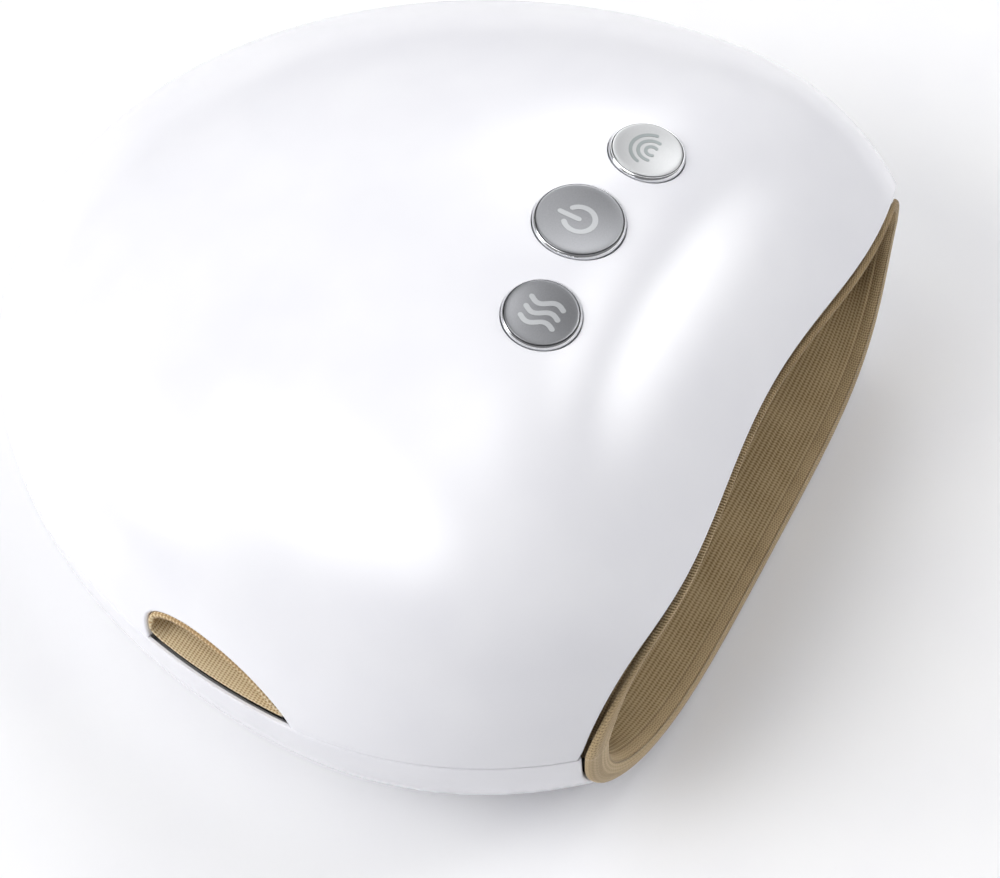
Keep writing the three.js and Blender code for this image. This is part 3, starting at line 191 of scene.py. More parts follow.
side_share = 1 - (1 - np.linspace(0, 1, 30001)) ** 3
side_points = dome_point(np.zeros(30001), side_share)
DOME_RUN = np.concatenate([[0], np.cumsum(np.linalg.norm(np.diff(side_points, axis=0), axis=1))])
DOME_EDGE = DOME_RUN[-1]

BOWL_FLAT = HALF_WIDTH - BOWL_ROUND
bowl_turn = np.linspace(0, math.pi / 2, 40001)
bowl_in = BOWL_ROUND * (1 - np.maximum(np.cos(bowl_turn), 0) ** (2 / BOWL_POWER))
bowl_drop = BOWL_DEPTH * np.sin(bowl_turn) ** (2 / BOWL_POWER)
BOWL_RUN = np.concatenate([[0], np.cumsum(np.hypot(np.diff(bowl_in), np.diff(bowl_drop)))])
BOWL_EDGE = BOWL_FLAT + BOWL_RUN[-1]


def dome_place(spots):
    run = np.hypot(spots[:, 0], spots[:, 1])
    share = np.interp(run, DOME_RUN, side_share)
    points = dome_point(np.arctan2(spots[:, 1], spots[:, 0]), share)
    points[:, 2] -= np.maximum(run - DOME_EDGE, 0)
    return points


def bowl_place(spots):
    run = np.hypot(spots[:, 0], spots[:, 1])
    angle = -np.arctan2(spots[:, 1], spots[:, 0])
    drawn_in = np.interp(BOWL_EDGE - run, BOWL_RUN, bowl_in)
    reach = plan_reach(angle, drawn_in) * np.minimum(run / BOWL_FLAT, 1)
    height = SEAM_HEIGHT - np.interp(BOWL_EDGE - run, BOWL_RUN, bowl_drop) + np.maximum(run - BOWL_EDGE, 0)
    return np.stack([reach * np.cos(angle), reach * np.sin(angle), height], -1)


def unit(vectors):
    return vectors / np.maximum(np.linalg.norm(vectors, axis=-1, keepdims=True), 1e-12)


PROBE = 0.02


def facing(place, spots):
    """Which way the surface faces at each spot of its plan"""
    run = np.hypot(spots[:, 0], spots[:, 1])[:, None]
    outward = np.where(run > 0.5, spots / np.maximum(run, 1e-9), [1.0, 0.0])
    around = np.stack([-outward[:, 1], outward[:, 0]], -1)
    along, across = [place(spots + way * PROBE) - place(spots - way * PROBE) for way in (outward, around)]
    return unit(np.cross(along, across))


def settle(place, spots, targets, rows, most=4):
    """Moves spots on the plan until their places, seen along two rows of directions, meet the targets"""
    def seen(vectors):
        return np.einsum("nij,nj->ni", rows, vectors)
    spots = spots.copy()
    for _ in range(25):
        miss = seen(place(spots) - targets)
        ways = np.array([[PROBE, 0], [0, PROBE]])
        p, q = [seen(place(spots + way) - place(spots - way)) / (2 * PROBE) for way in ways]
        det = p[:, 0] * q[:, 1] - q[:, 0] * p[:, 1]
        det = np.where(np.abs(det) < 1e-9, 1e-9, det)
        move_p = miss[:, 0] * q[:, 1] - q[:, 0] * miss[:, 1]
        move_q = p[:, 0] * miss[:, 1] - miss[:, 0] * p[:, 1]
        move = np.stack([move_p, move_q], -1) / det[:, None]
        size = np.linalg.norm(move, axis=1, keepdims=True)
        spots -= move * np.minimum(1, most / np.maximum(size, 1e-9))
    return spots


def even(points, spacing, closed=False):
    """The same line with its points at even distances"""
    if closed:
        points = np.concatenate([points, points[:1]])
    run = np.concatenate([[0], np.cumsum(np.linalg.norm(np.diff(points, axis=0), axis=1))])
    count = max(int(round(run[-1] / spacing)), 2)
    at = np.linspace(0, run[-1], count + 1)
    out = np.stack([np.interp(at, run, points[:, k]) for k in range(points.shape[1])], -1)
    return out[:-1] if closed else out


def inside(points, polygon):
    """Which points lie within a polygon"""
    within = np.zeros(len(points), bool)
    ahead = np.roll(polygon, -1, axis=0)
    for (x1, y1), (x2, y2) in zip(polygon, ahead):
        if y1 == y2:
            continue
        crosses = (points[:, 1] > y1) != (points[:, 1] > y2)
        within ^= crosses & (points[:, 0] < x1 + (points[:, 1] - y1) * (x2 - x1) / (y2 - y1))
    return within


def turning(polygon):
    ahead = np.roll(polygon, -1, axis=0)
    return (polygon[:, 0] * ahead[:, 1] - ahead[:, 0] * polygon[:, 1]).sum()


def far_from(points, others, distance):
    """Which points keep a distance from all the others"""
    clear = np.ones(len(points), bool)
    for start in range(0, len(points), 2000):
        part = points[start:start + 2000]
        gap = ((part[:, None] - others[None]) ** 2).sum(-1).min(1)
        clear[start:start + 2000] = gap > distance ** 2
    return clear


EDGE_TURNS = [0, 22.5, 45, 67.5, 90]
BANDS = (0.9, 2.0)
BAND_CLEAR = 0.8
GRID_CLEAR = 0.7


def rounded_edge(base, normal, out, radius, wall):
    """Rows of places and normals from the outer face round the wall's edge to its inner face"""
    rows = []
    for depth, sign, turns in ((0, 1, EDGE_TURNS), (wall, -1, EDGE_TURNS[::-1])):
        for turn in np.radians(turns):
            down = depth + sign * radius * (1 - math.cos(turn))
            place = base - down * normal + radius * out * math.sin(turn)
            rows.append((place, unit(sign * normal * math.cos(turn) + unit(out) * math.sin(turn))))
    return rows


def moulding(place, loops, wall, spacing):
    """A moulded wall with rounded edges: its outline first, then its holes, each as (spots, edge radii)"""
    edges, bands, rows = [], [], []
    for index, (spots, radius) in enumerate(loops):
        if (turning(spots) > 0) != (index == 0):
            spots, radius = spots[::-1], radius[::-1]
        points = place(spots)
        normal = facing(place, spots)
        behind = unit(points - np.roll(points, 1, axis=0))
        ahead = np.roll(behind, -1, axis=0)
        first, second = unit(np.cross(behind, normal)), unit(np.cross(ahead, normal))
        out = (first + second) / np.maximum(1 + (first * second).sum(-1), 0.4)[:, None]
        radius = radius[:, None]
        across = np.stack([unit(out), np.cross(normal, unit(out))], 1)
        inner = settle(place, spots, points - radius * out, across)
        base = place(inner)
        rows.append(rounded_edge(base, facing(place, inner), out, radius, wall))
        edges.append(inner)
        bands += [(distance, settle(place, inner, base - distance * out, across)) for distance in BANDS]
    border = np.concatenate(edges)
    field = [border]
    for distance, band in bands:
        field.append(band[far_from(band, border, distance * BAND_CLEAR) & inside(band, edges[0])])
    reach = np.abs(border).max() + spacing
    row_gap = spacing * math.sqrt(0.75)
    x, y = np.meshgrid(np.arange(-reach, reach, spacing), np.arange(-reach, reach, row_gap))
    x[1::2] += spacing / 2
    grid = np.stack([x.ravel(), y.ravel()], -1)
    grid = grid[inside(grid, edges[0])]
    for hole in edges[1:]:
        grid = grid[~inside(grid, hole)]
    field.append(grid[far_from(grid, border, BANDS[1] + spacing * GRID_CLEAR)])
    lines, start = [], 0
    for edge in edges:
        lines += [(start + k, start + (k + 1) % len(edge)) for k in range(len(edge))]
        start += len(edge)
    spots = [Vector(spot) for spot in np.concatenate(field)]
    flat, _, faces, origins, _, _ = delaunay_2d_cdt(spots, lines, [], 0, 1e-6)
    flat = np.array([tuple(spot) for spot in flat])
    faces = np.array([face for face in faces if len(face) == 3])
    slot = {old: new for new, olds in enumerate(origins) for old in olds}
    middle = flat[faces].mean(1)
    keep = inside(middle, edges[0])
    for hole in edges[1:]:
        keep &= ~inside(middle, hole)
    faces = faces[keep]
    winding = np.cross(flat[faces[:, 1]] - flat[faces[:, 0]], flat[faces[:, 2]] - flat[faces[:, 0]])
    faces[winding < 0] = faces[winding < 0][:, ::-1]
    outer, normal = place(flat), facing(place, flat)
    points, normals = [outer, outer - wall * normal], [normal, -normal]
    count = len(flat)
    polygons = faces.tolist() + (faces[:, ::-1] + count).tolist()
    total, start = 2 * count, 0
    for edge, ring in zip(edges, rows):
        size = len(edge)
        border = np.array([slot[start + k] for k in range(size)])
        levels = [border]
        for level_points, level_normals in ring[1:-1]:
            levels.append(np.arange(total, total + size))
            points.append(level_points)
            normals.append(level_normals)
            total += size
        levels.append(border + count)
        for here, below in zip(levels, levels[1:]):
            strip = [here, below, np.roll(below, -1), np.roll(here, -1)]
            polygons += np.stack(strip, -1).tolist()
        start += size
    return np.concatenate(points), polygons, np.concatenate(normals)


def to_frame(points):
    """Part millimetres to the frame's metres"""
    return (np.asarray(points, float) + [0, SHIFT_Y, 0]) * MM


def piece_of(name, points, polygons, normals=None):
    mesh = bpy.data.meshes.new(name)
    mesh.from_pydata(to_frame(points).tolist(), [], [tuple(int(k) for k in p) for p in polygons])
    mesh.update()
    mesh.polygons.foreach_set("use_smooth", np.ones(len(mesh.polygons), bool))
    if normals is not None:
        mesh.normals_split_custom_set_from_vertices(np.asarray(normals).tolist())
    piece = bpy.data.objects.new(name, mesh)
    bpy.context.scene.collection.objects.link(piece)
    return piece


# Upper shell

SEAM_ROUND = 0.35
LIP_ROUND = 0.8
HEEL_CUT = 1.3
SEAM_SPACING = 1.3
MOUTH_SPACING = 1.1
LEAF_SPACING = 0.9
UPPER_SPACING = 2.3
LOWER_SPACING = 2.6
MOUTH_CORNER = math.atan2(-LIP_CORNER, MOUTH_HALF_WIDTH)
LIP_STRETCH = (1.2, 1.2)
RIM_STRETCH = (1.15, -1.15)


def seam_spots(sign, start, end, edge):
    """Spots along the seam line between two angles"""
    turns = np.linspace(start, end, 900)
    return even(np.stack([edge * np.cos(turns), sign * edge * np.sin(turns)], -1), SEAM_SPACING)


def angle_at(y):
    """The angle at which the seam line passes a y on the right side"""
    length = FRONT_LENGTH if y < 0 else BACK_LENGTH
    x = HALF_WIDTH * math.sqrt(1 - (y / length) ** 2)
    return math.atan2(y, x)


def leaf_spots():
    """The thumb hole's edge on the right, on the dome's plan, from its tip to its heel"""
    outline = leaf_outline()
    heel = np.nonzero((outline[:, 1] < HEEL_CUT) & (outline[:, 0] > THUMB_FRONT_Y + THUMB_LENGTH / 2))[0][0]
    outline = even(outline[:heel], LEAF_SPACING)
    turns = np.arctan2(outline[:, 0], HALF_WIDTH)
    run = DOME_EDGE - outline[:, 1]
    guess = np.stack([run * np.cos(turns), run * np.sin(turns)], -1)
    targets = np.stack([np.zeros(len(outline)), outline[:, 0], SEAM_HEIGHT + outline[:, 1]], -1)
    rows = np.tile(np.array([[0.0, 1.0, 0.0], [0.0, 0.0, 1.0]]), (len(outline), 1, 1))
    spots = settle(dome_place, guess, targets, rows)
    return spots, outline


def front_spots(place, line, steps, stretch):
    """Spots along the mouth's edge, found from a guess that stretches its plan"""
    x = np.linspace(-MOUTH_HALF_WIDTH, MOUTH_HALF_WIDTH, steps)
    edge = even(np.stack([x, line(x)], -1), MOUTH_SPACING)[1:-1]
    rows = np.tile(np.eye(2, 3), (len(edge), 1, 1))
    return settle(place, edge * stretch, np.column_stack([edge, np.zeros(len(edge))]), rows)


def upper_outline():
    edge = DOME_EDGE - SEAM_GAP / 2
    leaf, leaf_line = leaf_spots()
    leaf = leaf[1:]
    front = seam_spots(1, MOUTH_CORNER, angle_at(leaf_line[0, 0]), edge)
    back = seam_spots(1, math.atan2(leaf[-1, 1], leaf[-1, 0]), math.pi / 2, edge)[:-1]
    right = np.concatenate([front, leaf, back])
    radii = np.repeat([SEAM_ROUND, LIP_ROUND, SEAM_ROUND], [len(front), len(leaf), len(back)])
    blend = np.convolve(np.pad(radii, 3, mode="edge"), np.ones(7) / 7, mode="valid")
    radii = np.minimum(blend, radii)
    lip = front_spots(dome_place, lip_y, 1200, LIP_STRETCH)
    spots = np.concatenate([right, [[0.0, edge]], right[::-1] * [-1, 1], lip])
    return spots, np.concatenate([radii, [SEAM_ROUND], radii[::-1], np.full(len(lip), LIP_ROUND)])


BUTTONS = {
    "power": (0.0, -15.2, 10.8),
    "heat": (-27.0, -19.4, 9.1),
    "pressure": (27.0, -19.4, 9.1),
}
BORE_GAP = 0.2
BORE_ROUND = 0.25
JOINTS = {joint["name"]: joint for joint in frame["joints"]}


def button_axis(name):
    return -Vector(JOINTS[name + "_press"]["axis"]).normalized()


def turn_to(axis):
    """The turn that the part gives to what stands along +Z"""
    return Vector((0, 0, 1)).rotation_difference(Vector(axis))


def button_place(name):
    x, y, _ = BUTTONS[name]
    return np.array([x, y, float(dome_height(np.array(x), np.array(y)))])


def bore_spots(name):
    _, _, radius = BUTTONS[name]
    centre, turn = button_place(name), turn_to(button_axis(name)).to_matrix()
    sides = np.linspace(0, 2 * math.pi, 97)[:-1]
    across, up = np.array(turn.col[0]), np.array(turn.col[1])
    reach = radius + BORE_GAP
    targets = centre + reach * (np.cos(sides)[:, None] * across + np.sin(sides)[:, None] * up)
    rows = np.tile(np.stack([across, up]), (len(sides), 1, 1))
    return settle(dome_place, targets[:, :2] + [0, APEX_FORWARD], targets, rows)


loops = [upper_outline()]
for name in BUTTONS:
    bore = bore_spots(name)
    loops.append((bore, np.full(len(bore), BORE_ROUND)))
upper_points, upper_faces, upper_normals = moulding(dome_place, loops, WALL, UPPER_SPACING)
upper_shell = piece_of("upper_moulding", upper_points, upper_faces, upper_normals)


# Lower shell

def lower_outline():
    back = seam_spots(-1, MOUTH_CORNER, math.pi - MOUTH_CORNER, BOWL_EDGE - SEAM_GAP / 2)
    rim = front_spots(bowl_place, rim_y, 1600, RIM_STRETCH)
    return np.concatenate([back, rim]), np.repeat([SEAM_ROUND, LIP_ROUND], [len(back), len(rim)])


lower_points, lower_faces, _ = moulding(bowl_place, [lower_outline()], WALL, LOWER_SPACING)
lower_shell = piece_of("lower_moulding", lower_points, lower_faces)


# The knit lining of the hand pocket, the welt round the mouth and the lining of each thumb hole

def section_point(angle, half_width, height):
    power = 2 / POCKET_SECTION_POWER
    across = np.sign(np.cos(angle)) * np.abs(np.cos(angle)) ** power
    return half_width * across, height * np.abs(np.sin(angle)) ** power


EDGE_STEPS = 1500
EDGE_CROWDING_SHARE = 0.98
mouth_edges = {}


def mouth_edge(inset, upper):
    """Places along the mouth, from its right corner to its left one, at an inset into the shell's wall"""
    key = (round(float(inset), 4), upper)
    if key in mouth_edges:
        return mouth_edges[key]
    front = lip_y if upper else rim_y
    length = FRONT_LENGTH - inset
    corner = halve(0.0, HALF_WIDTH, lambda x: np.hypot(x / (HALF_WIDTH - inset), front(x) / length) < 1)
    # The steps are short at the corners, where the edge turns down
    turns = np.linspace(0, math.pi, EDGE_STEPS)
    x = corner * np.cos(turns - EDGE_CROWDING_SHARE * np.sin(2 * turns) / 2)
    y = front(x)
    rise = dome_height(x, y, inset) - SEAM_HEIGHT if upper else SEAM_HEIGHT - bowl_height(x, y, inset)
    places = np.stack([x, y, np.maximum(rise, 0)], -1)
    runs = np.concatenate([[0], np.cumsum(np.linalg.norm(np.diff(places, axis=0), axis=1))])
    mouth_edges[key] = (places, runs / runs[-1])
    return mouth_edges[key]


INSET_STEP = 0.5
INSETS = np.arange(15) * INSET_STEP


def edge_place(angle, inset, upper):
    """A place along the mouth by its share of the way from corner to corner, at any inset"""
    tables = []
    for step in INSETS:
        places, runs = mouth_edge(step, upper)
        tables.append(np.stack([np.interp(angle / math.pi, runs, places[:, k]) for k in range(3)], -1))
    place = np.clip(inset / INSET_STEP, 0, len(INSETS) - 1.001)[None, ..., None]
    low = place.astype(int)
    picked, after = [np.take_along_axis(np.stack(tables), low + k, 0)[0] for k in (0, 1)]
    return picked + (after - picked) * (place - low)[0]


def lining_point(angle, behind, offset, upper):
    """A place on the pocket's lining, by its turn round the pocket and its distance behind the lip"""
    angle, behind, offset = np.broadcast_arrays(angle, behind, np.asarray(offset, float))
    weight = np.minimum(behind / POCKET_BLEND_LENGTH, 1)
    weight = (weight * weight * (3 - 2 * weight))[..., None]
    y = behind - LIP_MIDDLE
    taper = np.maximum(y - POCKET_TAPER_START, 0) / POCKET_TAPER_LENGTH
    shrink = np.sqrt(np.maximum(1 - taper * taper, 0))
    drop = POCKET_RISE if upper else POCKET_DROP
    body_x, body_z = section_point(angle, POCKET_HALF_WIDTH * shrink + offset, drop * shrink + offset)
    body = np.stack([body_x, y, body_z], -1)
    mouth = edge_place(angle, WALL + LINING_CLEARANCE + LINING - offset, upper)
    mouth[..., 1] += behind
    point = mouth + (body - mouth) * weight
    side = 1 if upper else -1
    point[..., 2] = SEAM_HEIGHT + side * (point[..., 2] + SEAM_GAP / 2)
    return point


def cloth(name, front, back, uv, ring=False):
    """A cloth with a thickness from two grids of points, joined round its edges; a ring closes on itself"""
    rows, columns = front.shape[:2]
    near = np.arange(rows * columns).reshape(rows, columns)
    if ring:
        near = np.concatenate([near, near[:, :1]], 1)
    far = near + rows * columns
    strips = [(near[:-1], near[1:]), (far[1:], far[:-1]), (far[:1], near[:1]), (near[-1:], far[-1:])]
    if not ring:
        strips += [(near[:, :1].T, far[:, :1].T), (far[:, -1:].T, near[:, -1:].T)]
    faces = []
    for here, beyond in strips:
        corners = (here[:, :-1], here[:, 1:], beyond[:, 1:], beyond[:, :-1])
        faces += np.stack(corners, -1).reshape(-1, 4).tolist()
    piece = piece_of(name, np.concatenate([front.reshape(-1, 3), back.reshape(-1, 3)]), faces)
    give_uv(piece, np.concatenate([uv.reshape(-1, 2)] * 2))
    tidy_normals(piece)
    return piece


def give_uv(piece, uv):
    """Millimetres along the cloth, one pair to a corner"""
    layer = piece.data.uv_layers.new(name="cloth_mm")
    corners = np.zeros(len(piece.data.loops), np.int32)
    piece.data.loops.foreach_get("vertex_index", corners)
    layer.data.foreach_set("uv", uv[corners].astype(np.float32).ravel())


def tidy_normals(piece, gap=1e-6):
    mesh = bmesh.new()
    mesh.from_mesh(piece.data)
    bmesh.ops.remove_doubles(mesh, verts=mesh.verts, dist=gap)
    bmesh.ops.dissolve_degenerate(mesh, edges=mesh.edges, dist=gap)
    bmesh.ops.recalc_face_normals(mesh, faces=mesh.faces)
    for face in mesh.faces:
        face.smooth = True
    mesh.to_mesh(piece.data)
    mesh.free()


# The lining is drawn thinner towards the mouth, so that the shell's edge looks slim
THINNED = 1.2
THINNED_LENGTH = 24

RIB_PITCH = 0.7
RIB_STEPS = 4
RIB_DEPTH = 0.28
BEAD_RIB_SHARE = 0.25
BEAD_RISE = 20
CORNER_POINTS = 4
WELT_END = 1.3
WELT_BACK = 2.65
WELT_PATH = (1.0, 1.2)

# The welt's section as (behind the shell's edge, away from the hand, rounding): a narrow binding
# above the seam, and below it a bead that rolls over the shell's rim
BINDING = [
    (-0.5, 1.6, 0.35), (0.3, 1.25, 0.3), (WELT_END, THINNED, 0.1), (WELT_END, 2.5, 0.05),
    (0.9, 2.6, 0.2), (0.2, WELT_BACK, 0.3), (-0.5, 2.5, 0.35),
]
BEAD = [
    (-2.15, 2.3, 1.2), (-0.8, 1.35, 1.0), (WELT_END, THINNED, 0.1), (WELT_END, 2.4, 0.05),
    (-0.25, 2.4, 0.2), (-0.25, 5.35, 0.2), (-2.15, 5.3, 1.1),
]

POCKET_END = LIP_MIDDLE + POCKET_TAPER_START + POCKET_TAPER_LENGTH
LINING_ROWS = (70, 44)
LINING_COLUMNS = 161
CROWDING_SHARE = 0.16
PUFF = 0.35
PUFF_WAVES = (7.5, 11, 17, 1.3, 23)
CREASE = 0.2
CREASE_WAVES = (3.1, 6.3)
CREASE_FADE = 30
FADE_IN = 6
FADE_OUT = 12
FLAT_TURN = 0.25


def lining_half(name, upper):
    taper = LIP_MIDDLE + POCKET_TAPER_START
    turns = np.linspace(0, math.pi / 2, LINING_ROWS[1])
    near = np.linspace(WELT_END, taper, LINING_ROWS[0])[:-1]
    behind = np.concatenate([near, taper + POCKET_TAPER_LENGTH * np.sin(turns)])
    base = np.linspace(0, math.pi, LINING_COLUMNS)
    behind, angle = np.meshgrid(behind, base - CROWDING_SHARE * np.sin(2 * base), indexing="ij")
    outer = lining_point(angle, behind, LINING, upper)
    inner = lining_point(angle, behind, THINNED * np.maximum(1 - behind / THINNED_LENGTH, 0) ** 2, upper)
    across = np.linalg.norm(np.diff(inner, axis=1, prepend=inner[:, :1]), axis=-1).cumsum(1)
    across -= across[:, LINING_COLUMNS // 2][:, None]
    # Soft folds where the cloth is drawn from the mouth to the pocket, a few tenths of a millimetre deep
    side, back, bend, sway, wander = PUFF_WAVES
    fold = PUFF * np.sin(across / side + behind / back)
    fold *= np.sin(behind / bend + sway * np.sin(across / wander))
    side, back = CREASE_WAVES
    fold += CREASE * np.sin(across / side - behind / back) * np.exp(-behind / CREASE_FADE)
    fade = np.minimum(1, (behind - WELT_END) / FADE_IN) * np.minimum(1, (POCKET_END - behind) / FADE_OUT)
    edge = np.minimum(1, np.minimum(angle, math.pi - angle) / FLAT_TURN)
    inner[..., 2] += (fold + PUFF) * fade * edge * (-1 if upper else 1)
    # The ribs of the cloth run level with the mouth
    return cloth(name, outer, inner, np.stack([behind, across], -1))


BORE_INSET = SLEEVE_WALL + SEAM_GAP
CUTTER_SKIRT = 8
CUTTER_REACH = (70, 123)


def prism(sections):
    """A closed cutter through a row of outlines that have the same number of corners"""
    index = np.arange(sections.shape[0] * sections.shape[1]).reshape(sections.shape[:2])
    ahead = np.roll(index, -1, axis=1)
    faces = np.stack([index[:-1], ahead[:-1], ahead[1:], index[1:]], -1).reshape(-1, 4).tolist()
    faces += [index[0].tolist(), index[-1][::-1].tolist()]
    cutter = piece_of("cutter", sections.reshape(-1, 3), faces)
    tidy_normals(cutter)
    return cutter


def leaf_block(side):
    """A cutter in the thumb hole's outline, through one side of the pocket's lining"""
    outline = leaf_outline(BORE_INSET, BORE_INSET, 14)
    foot = BORE_INSET - CUTTER_SKIRT
    outline = np.concatenate([[[outline[0, 0], foot]], outline, [[outline[-1, 0], foot]]])
    return prism(np.array([[[side * x, y, SEAM_HEIGHT + z] for y, z in outline] for x in CUTTER_REACH]))


def pick(*pieces):
    """Selects these pieces alone, with the first one active"""
    bpy.ops.object.select_all(action="DESELECT")
    for piece in pieces:
        piece.select_set(True)
    if pieces:
        bpy.context.view_layer.objects.active = pieces[0]


def apply_modifiers(piece):
    pick(piece)
    for modifier in list(piece.modifiers):
        bpy.ops.object.modifier_apply(modifier=modifier.name)


def cut_away(piece, cutters, how="DIFFERENCE"):
    """The cutters' space taken out of the piece, or joined to it, and the cutters removed"""
    for cutter in cutters:
        cut = piece.modifiers.new("cut", "BOOLEAN")
        cut.operation = how
        cut.solver = "EXACT"
        cut.object = cutter
        apply_modifiers(piece)
        bpy.data.objects.remove(cutter)


upper_lining = lining_half("upper_lining_knit", True)
lower_lining = lining_half("lower_lining_knit", False)
cut_away(upper_lining, [leaf_block(1), leaf_block(-1)])

def rounded(corners):
    """A closed outline of corners, each rounded off by points on a curve through it"""
    places = np.array([corner[:2] for corner in corners], float)
    points = []
    for k, (_, _, radius) in enumerate(corners):
        here, before, after = places[k], places[k - 1], places[(k + 1) % len(corners)]
        start = here + unit(before - here) * min(radius, np.linalg.norm(before - here) / 2)
        end = here + unit(after - here) * min(radius, np.linalg.norm(after - here) / 2)
        for share in np.linspace(0, 1, CORNER_POINTS):
            points.append((1 - share) ** 2 * start + 2 * share * (1 - share) * here + share ** 2 * end)
    return np.array(points)


def welt_ring_turns():
    """Turns round the mouth, over the lip and back under it, at even steps of a rib"""
    turns = np.linspace(0, 2 * math.pi, 8001)[:-1]
    behind, away = np.outer(WELT_PATH, np.ones(len(turns)))
    path = welt_place(turns, behind, away)
    run = np.concatenate([[0], np.cumsum(np.linalg.norm(np.diff(path, axis=0, append=path[:1]), axis=1))])
    ribs = int(round(run[-1] / RIB_PITCH))
    at = np.linspace(0, run[-1], ribs * RIB_STEPS, endpoint=False)
    return np.interp(at, run, np.append(turns, 2 * math.pi)), at


def welt_place(turns, behind, offset):
    """A place on the welt: its first half turn is over the mouth and its second one under it"""
    above = lining_point(turns, np.maximum(behind, 0), offset, True)
    below = lining_point(2 * math.pi - turns, np.maximum(behind, 0), offset, False)
    place = np.where((turns < math.pi)[:, None], above, below)
    place[:, 1] += np.minimum(behind, 0)
    return place


def make_welt():
    """The ribbed binding round the mouth, which widens to a rolled bead at the corners and under the hand"""
    turns, at = welt_ring_turns()
    rib = 0.5 - 0.5 * np.cos(2 * math.pi * np.arange(len(at)) / RIB_STEPS)
    rise = lining_point(np.minimum(turns, math.pi), 0.0, 0.0, True)[:, 2] - SEAM_HEIGHT
    share = np.where(turns < math.pi, np.clip(1 - rise / BEAD_RISE, 0, 1), 1)
    weight = share * share * (3 - 2 * share)
    binding, bead = rounded(BINDING), rounded(BEAD)
    sections = binding + (bead - binding) * weight[:, None, None]
    along = unit(np.roll(sections, -1, axis=1) - np.roll(sections, 1, axis=1))
    outward = np.stack([along[..., 1], -along[..., 0]], -1)
    # The ribs are fainter along the bead
    depth = RIB_DEPTH * (1 - (1 - BEAD_RIB_SHARE) * weight) * (1 - rib)
    around = sections - outward * depth[:, None, None]
    rings = np.stack([welt_place(turns, *around[:, k].T) for k in range(around.shape[1])], 1)
    count, size = rings.shape[:2]
    index = np.arange(count * size).reshape(count, size)
    along, ahead = np.roll(index, -1, axis=1), np.roll(index, -1, axis=0)
    faces = np.stack([index, along, np.roll(ahead, -1, axis=1), ahead], -1).reshape(-1, 4)
    piece = piece_of("mouth_binding", rings.reshape(-1, 3), faces)
    lengths = np.linalg.norm(np.diff(around, axis=1, prepend=around[:, :1]), axis=-1).cumsum(1)
    along_mm = np.broadcast_to(at[:, None], (count, size))
    give_uv(piece, np.stack([along_mm, lengths], -1).reshape(-1, 2))
    tidy_normals(piece)
    return piece


welt = make_welt()


def dome_side_x(y, height):
    """How far out the dome's side stands at a y and a height above the seam"""
    low = np.full(np.shape(y), HALF_WIDTH / 3)
    return halve(low, HALF_WIDTH, lambda x: dome_height(x, y) - SEAM_HEIGHT > height)


def pocket_side_x(y, height, offset):
    """How far out the pocket's lining stands at a y and a height above the seam"""
    taper = np.maximum(y - POCKET_TAPER_START, 0) / POCKET_TAPER_LENGTH
    shrink = np.sqrt(np.maximum(1 - taper * taper, 0))
    rise = np.clip(height / (POCKET_RISE * shrink + offset), 0, 1)
    reach = (1 - rise ** POCKET_SECTION_POWER) ** (1 / POCKET_SECTION_POWER)
    return (POCKET_HALF_WIDTH * shrink + offset) * reach


CUFF_PITCH = 0.93
CUFF_STEPS = 7
CUFF_DEPTH = 2.8
CUFF_SWELL = 0.42
CUFF_EDGE = 0.2
CUFF_FOOT = 2.5
CUFF_START = 0.45
CUFF_FADE = (8, 2)
PLAIN_SWELL = 0.03
CUFF_FOLD = 0.5
FOLD_WIDTH = 0.4
BACK_INSET = 0.15
BACK_ROUND = 0.4
ROUND_OVER = 0.75
ROUND_SHARE = 0.03
PLAIN_RIB_SHARE = 0.15
FLARE = 1.0
FLARE_DEPTH = 5
FLARE_HEIGHT = 3
SLEEVE_FLOOR = 0.4
FLOOR_SETBACK = 0.9
SLEEVE_SHARES = np.concatenate([[0, 0.012, 0.03, 0.06], np.linspace(0.1, 1, 26)])


